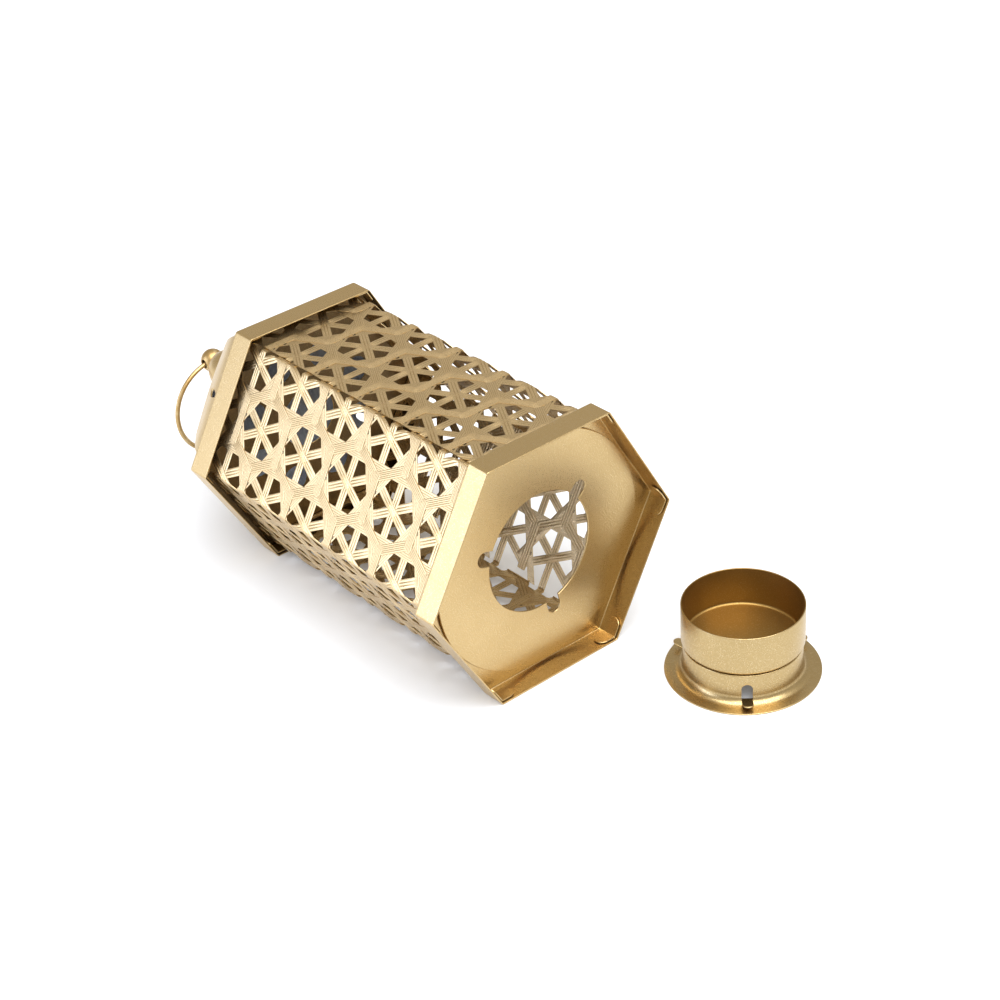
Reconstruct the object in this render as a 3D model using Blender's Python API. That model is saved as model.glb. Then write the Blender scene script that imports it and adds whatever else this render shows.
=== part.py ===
"""A six-sided tea-light lantern of pressed sheet metal, lying on one flat, with its candle cup stood beside it.

Frame: +X runs along the lantern's axis towards its base, +Z is up, and the origin is the middle of the
flat that the base tray lies on. Pieces on the lantern's axis are modelled about their own +Z, which an
empty turns to the world's +X, so that an angle in their XY plane is the same angle in the world's YZ plane.
"""

from math import acos, asin, ceil, cos, floor, hypot, pi, radians, sin, sqrt, tan

import bmesh
import bpy
from mathutils import Matrix, Vector

MM = 0.001
SIDES = 6

# General fits
SEAT_GAP = 0.3 * MM
STUD_CLEARANCE = 0.3 * MM

# Trays: two alike six-sided dishes, both open towards the base
TRAY_CORNER_RADIUS = 52.25 * MM
TRAY_SKIRT_HEIGHT = 9.6 * MM
TRAY_SHEET = 0.5 * MM
BASE_HOLE_RADIUS = 30.0 * MM
CHIMNEY_RADIUS = 11.5 * MM
VENT_COUNT = 8
VENT_RADIUS = 5.5 * MM
VENT_RING_RADIUS = 25.0 * MM
VENT_PHASE = radians(24)

# Corner straps inside both skirts
STRAP_SHEET = 0.5 * MM
STRAP_WIDTH = 5.5 * MM
STRAP_REACH = 6.5 * MM
STRAP_FROM_RIM = 0.8 * MM

# Bayonet disc in the base tray, clear of the skirt's flats
DISC_CLEARANCE = 1.25 * MM
DISC_SHEET = 0.8 * MM
SOCKET_RADIUS = 21.8 * MM
NOTCH_WIDTH = 5.5 * MM
NOTCH_REACH = 27.4 * MM
NOTCH_PHASE = radians(42)
LUG_COUNT = 3

# Body: six openwork panels, pressed in a cane-seat pattern, set in from the trays' corners
BODY_INSET = 3.95 * MM
BODY_LENGTH = 125.4 * MM
PANEL_SHEET = 1.0 * MM
PANEL_MITRE_GAP = 0.3 * MM
PANEL_END_STRIP = 1.2 * MM
PANEL_SIDE_STRIP = 0.9 * MM
CELL_PITCH = 24.4 * MM
CANE_WIDTH = 3.2 * MM
BAND_WIDTH = 3.0 * MM
LEAST_OPENING = 3.0 * MM**2

# Where a cell of the pattern lies on each sheet: round the body from a face's middle, and along the axis
FIRST_SHEET_ROW = 1.5 * MM
FIRST_SHEET_COLUMN = -81.2 * MM
SECOND_SHEET_ROW = 18.5 * MM
SECOND_SHEET_COLUMN = -57.0 * MM

# Roof: a pressed dome, six-sided up to its shoulder and round above, its foot set in from the body's corners
ROOF_SHEET = 0.6 * MM
ROOF_INSET = 1.5 * MM
ROOF_KNEE_RADIUS = 43.5 * MM
ROOF_KNEE_HEIGHT = 10.0 * MM
ROOF_SHOULDER_RADIUS = 36.2 * MM
ROOF_SHOULDER_HEIGHT = 19.6 * MM
ROOF_SHOULDER_ROUNDNESS = 0.1
ROOF_EAVE_RADIUS = 24.0 * MM
ROOF_EAVE_HEIGHT = 27.0 * MM
ROOF_HOLLOW = 1.5 * MM
ROOF_NECK_RADIUS = 10.0 * MM
ROOF_NECK_HEIGHT = 42.0 * MM
ROOF_SPIRE_RADIUS = 8.9 * MM
ROOF_SPIRE_HEIGHT = 44.0 * MM
ROOF_TOP_RADIUS = 5.2 * MM
ROOF_HEIGHT = 54.6 * MM
ROOF_SEGMENTS = 36
ROOF_VENT_COUNT = 6
ROOF_VENT_RADIUS = 1.6 * MM
ROOF_VENT_INSET = 0.7 * MM
ROOF_VENT_START = 3.5 * MM

# Finial: bell, ball with a threaded stud, washer and nut
BELL_RADIUS = 9.0 * MM
BELL_HEIGHT = 11.0 * MM
BELL_SHEET = 0.5 * MM
BELL_SEAT_WIDTH = 1.6 * MM
BELL_OVERLAP = 9.07 * MM
BALL_RADIUS = 4.6 * MM
BALL_NECK_RADIUS = 3.0 * MM
BALL_NECK_LENGTH = 0.5 * MM
EYE_RADIUS = 1.7 * MM
STUD_RADIUS = 1.5 * MM
WASHER_RADIUS = 4.0 * MM
WASHER_SHEET = 0.6 * MM
NUT_FLATS = 5.5 * MM
NUT_HEIGHT = 2.4 * MM
STUD_TAIL = 1.2 * MM

# Hanging ring
RING_RADIUS = 19.07 * MM
RING_WIRE_RADIUS = 0.9 * MM

# Candle cup, stood beside the lantern
CUP_X = 46.05 * MM
CUP_Y = 45.03 * MM
PAN_RADIUS = 20.75 * MM
PAN_DEPTH = 14.9 * MM
PAN_SHEET = 0.5 * MM
PAN_EDGE_RADIUS = 1.5 * MM
COLLAR_HEIGHT = 11.3 * MM
COLLAR_NECK_RADIUS = 20.15 * MM
COLLAR_SHEET = 0.5 * MM
COLLAR_LIP = 3.0 * MM
COLLAR_FILLET = 3.0 * MM
FLANGE_RADIUS = 26.5 * MM
WINDOW_WIDTH = 3.75 * MM
WINDOW_LOW = 2.4 * MM
WINDOW_HIGH = 7.7 * MM
LUG_WIDTH = 3.75 * MM
LUG_SHEET = 0.5 * MM
LUG_REACH = 26.0 * MM
LUG_RISE = 1.0 * MM
LUG_PHASE = radians(78)

# Widths that follow the trays
AXIS_HEIGHT = TRAY_CORNER_RADIUS * cos(pi / SIDES)
DISC_RADIUS = AXIS_HEIGHT - TRAY_SHEET - DISC_CLEARANCE
BODY_CORNER_RADIUS = TRAY_CORNER_RADIUS - BODY_INSET
ROOF_FOOT_RADIUS = BODY_CORNER_RADIUS - ROOF_INSET

# Places along the lantern's axis, in the world's X
BASE_RIM = TRAY_SKIRT_HEIGHT / 2
BASE_BACK = BASE_RIM - TRAY_SKIRT_HEIGHT
DISC_BACK = BASE_BACK + TRAY_SHEET + SEAT_GAP
BODY_NEAR = BASE_BACK - SEAT_GAP
BODY_FAR = BODY_NEAR - BODY_LENGTH
TOP_BACK = BODY_FAR - SEAT_GAP - TRAY_SHEET
TOP_RIM = TOP_BACK + TRAY_SKIRT_HEIGHT
ROOF_FOOT = TOP_BACK - SEAT_GAP
ROOF_TOP = ROOF_FOOT - ROOF_HEIGHT
BELL_TOP = ROOF_TOP + BELL_OVERLAP - BELL_HEIGHT
BALL_SEAT = BELL_TOP - SEAT_GAP
BALL_CENTRE = BALL_SEAT - sqrt(BALL_RADIUS**2 - BALL_NECK_RADIUS**2) - BALL_NECK_LENGTH

# Mesh fineness, and how far a cutter runs past the sheet
CUT_PAST = 1.0 * MM
ROUND_SEGMENTS = 42
HOLE_SEGMENTS = 20
SMALL_SEGMENTS = 12
RING_SEGMENTS = 40
WIRE_SEGMENTS = 8
ARC_STEPS = 3
DOME_STEPS = 4
POLE_ANGLE = radians(7)
SMOOTH_ANGLE = radians(35)


def clear_scene():
    for obj in list(bpy.data.objects):
        bpy.data.objects.remove(obj)


def material(name, colour, roughness, metallic):
    made = bpy.data.materials.new(name)
    made.use_nodes = True
    shader = made.node_tree.nodes["Principled BSDF"]
    shader.inputs["Base Color"].default_value = (*colour, 1)
    shader.inputs["Roughness"].default_value = roughness
    shader.inputs["Metallic"].default_value = metallic
    return made


def empty(name, matrix):
    made = bpy.data.objects.new(name, None)
    bpy.context.collection.objects.link(made)
    made.matrix_world = matrix
    return made


def object_of(name, mesh, finish, parent, location=(0, 0, 0), turn=0.0):
    """A named object with its own copy of a finish, placed in its parent's frame and turned about +Z."""
    made = bpy.data.objects.new(name, mesh)
    bpy.context.collection.objects.link(made)
    made.parent = parent
    made.location = location
    made.rotation_euler = (0, 0, turn)
    mesh.materials.clear()
    mesh.materials.append(finish)
    return made


def mesh_of(name, bm, smooth=True):
    """Closes a bmesh into a mesh with its faces out, smooth where it is round."""
    bmesh.ops.remove_doubles(bm, verts=bm.verts, dist=1e-7)
    bmesh.ops.recalc_face_normals(bm, faces=bm.faces)
    mesh = bpy.data.meshes.new(name)
    bm.to_mesh(mesh)
    bm.free()
    if smooth:
        mesh.shade_smooth()
        mesh.set_sharp_from_angle(angle=SMOOTH_ANGLE)
    return mesh


def circle(radius, count, z=0.0):
    turn = 2 * pi / count
    return [Vector((radius * cos(turn * i), radius * sin(turn * i), z)) for i in range(count)]


def hexagon_reach(angle):
    """How far a hexagon's edge is at this angle, as a share of its corner radius."""
    half = pi / SIDES
    return cos(half) / cos((angle % (2 * half)) - half)


def hexagon_ring(radius, count, z, roundness):
    """A ring between a hexagon (0) with a corner at +X and the circle through its corners (1)."""
    points = []
    for i in range(count):
        angle = 2 * pi * i / count
        reach = radius * (roundness + (1 - roundness) * hexagon_reach(angle))
        points.append(Vector((reach * cos(angle), reach * sin(angle), z)))
    return points


def skin(bm, rings, closed):
    """Joins rings of equally many points, each to the next, and the last to the first where closed."""
    made = [[bm.verts.new(point) for point in ring] for ring in rings]
    pairs = list(zip(made, made[1:]))
    if closed:
        pairs.append((made[-1], made[0]))
    for first, second in pairs:
        for i in range(len(first)):
            j = (i + 1) % len(first)
            bm.faces.new((first[i], first[j], second[j], second[i]))
    return made


def band(name, rings):
    """A solid whose section is the closed run of rings round an open middle."""
    bm = bmesh.new()
    skin(bm, rings, closed=True)
    return mesh_of(name, bm)


def plug(name, rings):
    """A solid skinned over rings and closed by a flat face at each end."""
    bm = bmesh.new()
    made = skin(bm, rings, closed=False)
    bm.faces.new(made[0])
    bm.faces.new(made[-1])
    return mesh_of(name, bm)


def slab(name, loops, near, far, shrink=0.0):
    """A flat plate between two heights: loops[0] is its outline, the others its holes.

    The outline is drawn in by shrink at the near height, which mitres the plate's two long sides.
    """
    bm = bmesh.new()
    caps = ([], [])
    for number, loop in enumerate(loops):
        levels = []
        for cap, (height, inset) in enumerate(((far, 0.0), (near, shrink))):
            verts = []
            for x, y in loop:
                moved = y - inset * (1 if y > 0 else -1) if number == 0 else y
                verts.append(bm.verts.new((x, moved, height)))
            caps[cap].extend(bm.edges.new((verts[i], verts[i - 1])) for i in range(len(verts)))
            levels.append(verts)
        for i in range(len(loop)):
            bm.faces.new((levels[0][i - 1], levels[0][i], levels[1][i], levels[1][i - 1]))
    for edges in caps:
        bmesh.ops.triangle_fill(bm, use_beauty=True, use_dissolve=False, edges=edges)
    return mesh_of(name, bm, smooth=False)


def hidden_cutter(name, mesh, parent, location=(0, 0, 0)):
    made = bpy.data.objects.new(name, mesh)
    bpy.context.collection.objects.link(made)
    made.parent = parent
    made.location = location
    made.hide_render = True
    made.display_type = "WIRE"
    return made


def boolean(target, tool, operation):
    modifier = target.modifiers.new(f"{operation.lower()} {tool.name}", "BOOLEAN")
    modifier.operation = operation
    modifier.solver = "EXACT"
    modifier.object = tool


def arc(centre, radius, start, end, steps):
    """Points of an arc in a plane, from one angle to another, both ends included."""
    turn = (end - start) / steps
    return [
        (centre[0] + radius * cos(start + turn * i), centre[1] + radius * sin(start + turn * i))
        for i in range(steps + 1)
    ]


def turned_rings(profile, count=ROUND_SEGMENTS):
    """Rings for a profile of (radius, height) points turned about +Z."""
    return [circle(radius, count, z) for radius, z in profile]


def slot_outline(width, start, end, angle, steps=ARC_STEPS):
    """A round-ended slot along a direction, from start to the far tip of its round end."""
    half = width / 2
    tip = arc((end - half, 0), half, -pi / 2, pi / 2, 2 * steps)
    points = [(start, -half), *tip, (start, half)]
    return [(x * cos(angle) - y * sin(angle), x * sin(angle) + y * cos(angle)) for x, y in points]


# The trays


def tray_mesh(name):
    """A dish with its back at z 0 and its skirt's free rim at +Z, before its holes are cut."""
    inner_radius = TRAY_CORNER_RADIUS - TRAY_SHEET / cos(pi / SIDES)
    return plug(
        name,
        [
            circle(inner_radius, SIDES, TRAY_SHEET),
            circle(inner_radius, SIDES, TRAY_SKIRT_HEIGHT),
            circle(TRAY_CORNER_RADIUS, SIDES, TRAY_SKIRT_HEIGHT),
            circle(TRAY_CORNER_RADIUS, SIDES, 0),
        ],
    )


def round_hole(name, radius, centre, axis, back):
    """A cutter for a round hole through a tray's plate."""
    rings = [circle(radius, HOLE_SEGMENTS, z) for z in (-CUT_PAST, TRAY_SHEET + CUT_PAST)]
    return hidden_cutter(name, plug(name, rings), axis, (centre[0], centre[1], back))


def base_tray(axis, gold):
    tray = object_of("base_tray", tray_mesh("base_tray"), gold, axis, (0, 0, BASE_BACK))
    boolean(tray, round_hole("base_hole", BASE_HOLE_RADIUS, (0, 0), axis, BASE_BACK), "DIFFERENCE")


def top_tray(axis, gold):
    tray = object_of("top_tray", tray_mesh("top_tray"), gold, axis, (0, 0, TOP_BACK))
    boolean(tray, round_hole("chimney_hole", CHIMNEY_RADIUS, (0, 0), axis, TOP_BACK), "DIFFERENCE")
    for i in range(VENT_COUNT):
        angle = VENT_PHASE + 2 * pi * i / VENT_COUNT
        centre = (VENT_RING_RADIUS * cos(angle), VENT_RING_RADIUS * sin(angle))
        boolean(tray, round_hole(f"vent_{i + 1}", VENT_RADIUS, centre, axis, TOP_BACK), "DIFFERENCE")


def corner_strap_mesh():
    """A bent strip over a skirt corner at +X: its section in XY is a chevron, its ends are round along Z."""
    half_turn = pi / SIDES
    outer_apothem = TRAY_CORNER_RADIUS * cos(half_turn) - TRAY_SHEET - SEAT_GAP
    outer_corner = outer_apothem / cos(half_turn)
    inner_corner = (outer_apothem - STRAP_SHEET) / cos(half_turn)
    along = Vector((-sin(half_turn), cos(half_turn)))
    radius = STRAP_WIDTH / 2
    reach = STRAP_REACH - radius
    bm = bmesh.new()
    layers = []
    for corner in (outer_corner, inner_corner):
        end = arc((reach, 0), radius, -pi / 2, pi / 2, ARC_STEPS)
        upper = [(corner + along.x * s, along.y * s, z) for s, z in end]
        lower = [(x, -y, z) for x, y, z in reversed(upper)]
        fold = [(corner, 0, radius)], [(corner, 0, -radius)]
        layers.append([*fold[1], *upper, *fold[0], *lower])
    made = [[bm.verts.new(point) for point in layer] for layer in layers]
    count = len(made[0])
    for i in range(count):
        bm.faces.new((made[0][i - 1], made[0][i], made[1][i], made[1][i - 1]))
    wing = count // 2
    for verts in made:
        bm.faces.new(verts[: wing + 1])
        bm.faces.new([*verts[wing:], verts[0]])
    return mesh_of("corner_strap", bm)


def corner_straps(axis, gold):
    """Six straps in each tray, near the free rim."""
    mesh = corner_strap_mesh()
    for tray, rim in (("base", BASE_RIM), ("top", TOP_RIM)):
        for i in range(SIDES):
            place = (0, 0, rim - STRAP_FROM_RIM - STRAP_WIDTH / 2)
            object_of(f"{tray}_corner_strap_{i + 1}", mesh, gold, axis, place, 2 * pi * i / SIDES)


def socket_outline():
    """The socket's edge: a circle with three round-ended notches for the cup's lugs."""
    half_angle = asin(NOTCH_WIDTH / 2 / SOCKET_RADIUS)
    mouth = SOCKET_RADIUS * cos(half_angle)
    pitch = 2 * pi / LUG_COUNT
    steps = ROUND_SEGMENTS // LUG_COUNT
    points = []
    for i in range(LUG_COUNT):
        angle = NOTCH_PHASE + pitch * i
        points += slot_outline(NOTCH_WIDTH, mouth, NOTCH_REACH, angle)
        points += arc((0, 0), SOCKET_RADIUS, angle + half_angle, angle + pitch - half_angle, steps)[1:-1]
    return points


def bayonet_disc(axis, gold):
    rim = [(point.x, point.y) for point in circle(DISC_RADIUS, ROUND_SEGMENTS)]
    mesh = slab("bayonet_disc", [rim, socket_outline()], 0, DISC_SHEET)
    object_of("bayonet_disc", mesh, gold, axis, (0, 0, DISC_BACK))


# The openwork panels


def kite(direction):
    """One of the six openings of a cell, pointing away from its centre.

    Two of its sides follow the canes that cross in the cell's centre. The other two follow the bands
    that run midway between the rows of cells.
    """
    half_turn = pi / SIDES
    band_edge = (CELL_PITCH * cos(half_turn) - BAND_WIDTH) / 2
    near = CANE_WIDTH / 2 / sin(half_turn)
    tip = band_edge / cos(half_turn)
    shoulder = band_edge * cos(half_turn) + near * sin(half_turn) ** 2
    side = (shoulder - near) * tan(half_turn)
    corners = ((near, 0), (shoulder, -side), (tip, 0), (shoulder, side))
    return [(x * cos(direction) - y * sin(direction), x * sin(direction) + y * cos(direction)) for x, y in corners]


def clipped(loop, lows, highs):
    """A convex loop cut to a rectangle."""
    for axis in (0, 1):
        for bound, sign in ((lows[axis], 1), (highs[axis], -1)):
            kept = []
            for start, end in zip(loop, loop[1:] + loop[:1]):
                before = sign * (start[axis] - bound)
                after = sign * (end[axis] - bound)
                if before >= 0:
                    kept.append(start)
                if before * after < 0:
                    share = before / (before - after)
                    kept.append(tuple(a + (b - a) * share for a, b in zip(start, end)))
            loop = kept
            if not loop:
                return loop
    return loop


def area(loop):
    return abs(sum(a[0] * b[1] - b[0] * a[1] for a, b in zip(loop, loop[1:] + loop[:1]))) / 2


def openings(half_width, row_start, column_start):
    """The openings of one panel: x runs along the panel, and the rows of cells lie across it."""
    lows = (BODY_FAR + PANEL_END_STRIP, -half_width + PANEL_SIDE_STRIP)
    highs = (BODY_NEAR - PANEL_END_STRIP, half_width - PANEL_SIDE_STRIP)
    row_pitch = CELL_PITCH * cos(pi / SIDES)
    loops = []
    for row in range(floor((lows[1] - row_start) / row_pitch), ceil((highs[1] - row_start) / row_pitch) + 1):
        first = column_start + CELL_PITCH / 2 * (row % 2)
        for column in range(floor((lows[0] - first) / CELL_PITCH), ceil((highs[0] - first) / CELL_PITCH) + 1):
            centre = (first + CELL_PITCH * column, row_start + row_pitch * row)
            for number in range(6):
                loop = [(centre[0] + x, centre[1] + y) for x, y in kite(pi / 3 * number)]
                loop = clipped(loop, lows, highs)
                if len(loop) > 2 and area(loop) > LEAST_OPENING:
                    loops.append(loop)
    return loops


def lattice_panels(axis, gold):
    """Six flat panels. The pattern runs on unbroken round three faces at a time, from one seam to the other."""
    half_turn = pi / SIDES
    outer = BODY_CORNER_RADIUS * cos(half_turn)
    trim = PANEL_MITRE_GAP / 2 / cos(half_turn)
    half_width = BODY_CORNER_RADIUS / 2 - trim
    shrink = PANEL_SHEET * tan(half_turn)
    sheets = (
        # The middle face's direction, and where a cell lies on it: across the face, along the axis
        (radians(210), FIRST_SHEET_ROW - BODY_CORNER_RADIUS, FIRST_SHEET_COLUMN),
        (radians(30), SECOND_SHEET_ROW + BODY_CORNER_RADIUS, SECOND_SHEET_COLUMN),
    )
    number = 0
    for middle, row_start, column_start in sheets:
        for step in (-1, 0, 1):
            number += 1
            loops = openings(half_width - shrink, row_start - step * BODY_CORNER_RADIUS, column_start)
            outline = [
                (BODY_NEAR, -half_width),
                (BODY_NEAR, half_width),
                (BODY_FAR, half_width),
                (BODY_FAR, -half_width),
            ]
            mesh = slab(f"lattice_panel_{number}", [outline, *loops], outer - PANEL_SHEET, outer, shrink)
            # The panel's own x, y and z lie along the lantern's axis, across the face and out of it.
            mesh.transform(Matrix(((0, 0, 1, 0), (0, 1, 0, 0), (1, 0, 0, 0), (0, 0, 0, 1))))
            mesh.flip_normals()
            turn = middle + step * 2 * half_turn
            object_of(f"lattice_panel_{number}", mesh, gold, axis, (0, 0, 0), turn)


# The roof


def roof_profile():
    """(corner radius, height above the foot, roundness) down the dome's outer side."""
    foot = [
        (ROOF_FOOT_RADIUS, 0.0, 0.0),
        (ROOF_KNEE_RADIUS, ROOF_KNEE_HEIGHT, 0.0),
        (ROOF_SHOULDER_RADIUS, ROOF_SHOULDER_HEIGHT, ROOF_SHOULDER_ROUNDNESS),
        (ROOF_EAVE_RADIUS, ROOF_EAVE_HEIGHT, 1.0),
    ]
    dome = []
    rise = ROOF_NECK_HEIGHT - ROOF_EAVE_HEIGHT
    for i in range(1, DOME_STEPS + 1):
        share = i / DOME_STEPS
        hollow = sin(pi * share) * ROOF_HOLLOW
        radius = ROOF_EAVE_RADIUS + (ROOF_NECK_RADIUS - ROOF_EAVE_RADIUS) * share - hollow
        dome.append((radius, ROOF_EAVE_HEIGHT + rise * share, 1.0))
    bell_seat = BELL_RADIUS - BELL_SHEET - SEAT_GAP
    tip = [
        (ROOF_SPIRE_RADIUS, ROOF_SPIRE_HEIGHT, 1.0),
        (bell_seat, ROOF_HEIGHT - BELL_OVERLAP, 1.0),
        (ROOF_TOP_RADIUS, ROOF_HEIGHT, 1.0),
    ]
    return foot + dome + tip


def roof(axis, gold):
    """The dome, open below, with a hole for the finial's stud at its top and a vent in each side."""
    outside = roof_profile()
    inside = []
    for i, (radius, height, roundness) in enumerate(outside):
        before = outside[max(i - 1, 0)]
        after = outside[min(i + 1, len(outside) - 1)]
        run = hypot(after[0] - before[0], after[1] - before[1])
        drop = ROOF_SHEET * (before[0] - after[0]) / run
        draw = ROOF_SHEET * (after[1] - before[1]) / run
        inside.append((radius - draw, max(height - drop, 0.0), roundness))
    inside[-1] = (outside[-1][0], ROOF_HEIGHT - ROOF_SHEET, 1.0)
    bore = STUD_RADIUS + STUD_CLEARANCE
    profile = [*outside, (bore, ROOF_HEIGHT, 1.0), (bore, ROOF_HEIGHT - ROOF_SHEET, 1.0), *reversed(inside)]
    rings = [hexagon_ring(radius, ROOF_SEGMENTS, -height, roundness) for radius, height, roundness in profile]
    dome = object_of("roof", band("roof", rings), gold, axis, (0, 0, ROOF_FOOT))
    reach = ROOF_KNEE_RADIUS * cos(pi / SIDES) - ROOF_VENT_INSET
    for i in range(ROOF_VENT_COUNT):
        angle = pi / SIDES + 2 * pi * i / ROOF_VENT_COUNT
        rings = [circle(ROOF_VENT_RADIUS, SMALL_SEGMENTS, z) for z in (-ROOF_EAVE_HEIGHT, -ROOF_VENT_START)]
        cutter = plug(f"roof_vent_{i + 1}", rings)
        place = (reach * cos(angle), reach * sin(angle), ROOF_FOOT)
        boolean(dome, hidden_cutter(f"roof_vent_{i + 1}", cutter, axis, place), "DIFFERENCE")


# The finial and its ring


def bell_cap(axis, gold):
    """A small bell over the dome's top, its rim towards the base: quarter ellipses that end on a flat seat."""
    crown = BALL_NECK_RADIUS + BELL_SEAT_WIDTH
    bore = STUD_RADIUS + STUD_CLEARANCE
    sides = []
    for sheet in (0.0, BELL_SHEET):
        radius = BELL_RADIUS - sheet
        depth = BELL_HEIGHT - sheet
        last = acos((crown - sheet) / radius)
        angles = [last * i / ARC_STEPS for i in range(ARC_STEPS + 1)]
        lift = 1 - sin(last)
        sides.append([(radius * cos(a), BELL_HEIGHT - depth * sin(a) / (1 - lift)) for a in angles])
    outside, inside = sides
    profile = [*outside, (bore, 0.0), (bore, BELL_SHEET), *reversed(inside)]
    object_of("bell_cap", band("bell_cap", turned_rings(profile, HOLE_SEGMENTS)), gold, axis, (0, 0, BELL_TOP))


def finial_ball(axis, gold):
    """The ball with its neck and threaded stud, and a cross hole for the ring's wire."""
    neck_angle = acos(BALL_NECK_RADIUS / BALL_RADIUS)
    seat = BALL_SEAT - BALL_CENTRE
    washer_end = ROOF_TOP + ROOF_SHEET + SEAT_GAP + WASHER_SHEET
    stud_end = washer_end + SEAT_GAP + NUT_HEIGHT + STUD_TAIL - BALL_CENTRE
    points = arc((0, 0), BALL_RADIUS, POLE_ANGLE - pi / 2, neck_angle, 3 * ARC_STEPS)
    points += [(BALL_NECK_RADIUS, seat), (STUD_RADIUS, seat), (STUD_RADIUS, stud_end)]
    mesh = plug("finial_ball", turned_rings(points, HOLE_SEGMENTS))
    ball = object_of("finial_ball", mesh, gold, axis, (0, 0, BALL_CENTRE))
    rings = [circle(EYE_RADIUS, SMALL_SEGMENTS, z) for z in (-2 * BALL_RADIUS, 2 * BALL_RADIUS)]
    eye = hidden_cutter("eye", plug("eye", rings), axis, (0, 0, BALL_CENTRE))
    eye.rotation_euler = (0, pi / 2, 0)
    boolean(ball, eye, "DIFFERENCE")


def finial_fasteners(axis, steel):
    """The washer and nut on the stud, inside the dome."""
    bore = STUD_RADIUS + STUD_CLEARANCE
    washer_near = ROOF_TOP + ROOF_SHEET + SEAT_GAP
    section = [(WASHER_RADIUS, 0), (WASHER_RADIUS, WASHER_SHEET), (bore, WASHER_SHEET), (bore, 0)]
    washer = band("finial_washer", turned_rings(section, HOLE_SEGMENTS))
    object_of("finial_washer", washer, steel, axis, (0, 0, washer_near))
    corner = NUT_FLATS / 2 / cos(pi / SIDES)
    rings = [
        hexagon_ring(corner, HOLE_SEGMENTS, 0, 0),
        hexagon_ring(corner, HOLE_SEGMENTS, NUT_HEIGHT, 0),
        circle(bore, HOLE_SEGMENTS, NUT_HEIGHT),
        circle(bore, HOLE_SEGMENTS, 0),
    ]
    nut_near = washer_near + WASHER_SHEET + SEAT_GAP
    object_of("finial_nut", band("finial_nut", rings), steel, axis, (0, 0, nut_near))


def hanging_ring(axis, gold):
    """The wire ring, its origin on the ball's cross hole and its loop hanging below."""
    rings = []
    for i in range(RING_SEGMENTS):
        angle = 2 * pi * i / RING_SEGMENTS
        section = []
        for j in range(WIRE_SEGMENTS):
            around = 2 * pi * j / WIRE_SEGMENTS
            reach = RING_RADIUS + RING_WIRE_RADIUS * cos(around)
            section.append((reach * sin(angle), reach * cos(angle) - RING_RADIUS, RING_WIRE_RADIUS * sin(around)))
        rings.append(section)
    object_of("hanging_ring", band("hanging_ring", rings), gold, axis, (0, 0, BALL_CENTRE))


# The candle cup


def candle_pan(stand, gold):
    """The straight-sided pan that holds the tea light, with a small radius round its floor."""
    floor_corner = (PAN_RADIUS - PAN_EDGE_RADIUS, PAN_EDGE_RADIUS)
    outside = arc(floor_corner, PAN_EDGE_RADIUS, -pi / 2, 0, ARC_STEPS)
    inside = arc(floor_corner, PAN_EDGE_RADIUS - PAN_SHEET, 0, -pi / 2, ARC_STEPS)
    profile = [*outside, (PAN_RADIUS, PAN_DEPTH), (PAN_RADIUS - PAN_SHEET, PAN_DEPTH), *inside]
    mesh = plug("candle_pan", turned_rings(profile))
    object_of("candle_pan", mesh, gold, stand, (0, 0, COLLAR_HEIGHT + SEAT_GAP))


def bayonet_collar(stand, gold):
    """The flared foot: a lip under the pan, a neck with three windows, a fillet, a flange and three lugs."""
    fillet = (COLLAR_NECK_RADIUS + COLLAR_FILLET, COLLAR_SHEET + COLLAR_FILLET)
    outside = arc(fillet, COLLAR_FILLET, 3 * pi / 2, pi, ARC_STEPS)
    inside = arc(fillet, COLLAR_FILLET + COLLAR_SHEET, pi, 3 * pi / 2, ARC_STEPS)
    inside = [(radius, max(height, 0.0)) for radius, height in inside]
    top = COLLAR_HEIGHT
    lip = COLLAR_NECK_RADIUS - COLLAR_LIP
    profile = [
        (FLANGE_RADIUS, 0.0),
        (FLANGE_RADIUS, COLLAR_SHEET),
        *outside,
        (COLLAR_NECK_RADIUS, top),
        (lip, top),
        (lip, top - COLLAR_SHEET),
        (COLLAR_NECK_RADIUS - COLLAR_SHEET, top - COLLAR_SHEET),
        *inside,
    ]
    collar = object_of("bayonet_collar", band("bayonet_collar", turned_rings(profile)), gold, stand)
    for i in range(LUG_COUNT):
        angle = LUG_PHASE + 2 * pi * i / LUG_COUNT
        boolean(collar, window_cutter(i + 1, angle, stand), "DIFFERENCE")
    for i in range(LUG_COUNT):
        angle = LUG_PHASE + 2 * pi * i / LUG_COUNT
        boolean(collar, lug(i + 1, angle, stand), "UNION")


def window_cutter(number, angle, stand):
    """A round-ended upright slot through the neck."""
    half = WINDOW_WIDTH / 2
    outline = arc((0, WINDOW_HIGH - half), half, 0, pi, 2 * ARC_STEPS)
    outline += arc((0, WINDOW_LOW + half), half, pi, 2 * pi, 2 * ARC_STEPS)
    near = COLLAR_NECK_RADIUS - COLLAR_FILLET
    far = COLLAR_NECK_RADIUS + COLLAR_FILLET
    rings = [[Vector((reach, y, z)) for y, z in outline] for reach in (near, far)]
    cutter = hidden_cutter(f"window_{number}", plug(f"window_{number}", rings), stand)
    cutter.rotation_euler = (0, 0, angle)
    return cutter


def lug(number, angle, stand):
    """A tongue bent out of the window's foot, rising a little to its round tip."""
    start = COLLAR_NECK_RADIUS - COLLAR_SHEET / 2
    slope = LUG_RISE / (LUG_REACH - start)
    top = WINDOW_LOW
    outline = slot_outline(LUG_WIDTH, start, LUG_REACH, 0.0)
    rings = []
    for drop in (0.0, LUG_SHEET):
        rings.append([Vector((x, y, top - drop + slope * (x - start))) for x, y in outline])
    tongue = hidden_cutter(f"lug_{number}", plug(f"lug_{number}", rings), stand)
    tongue.rotation_euler = (0, 0, angle)
    return tongue


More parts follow.
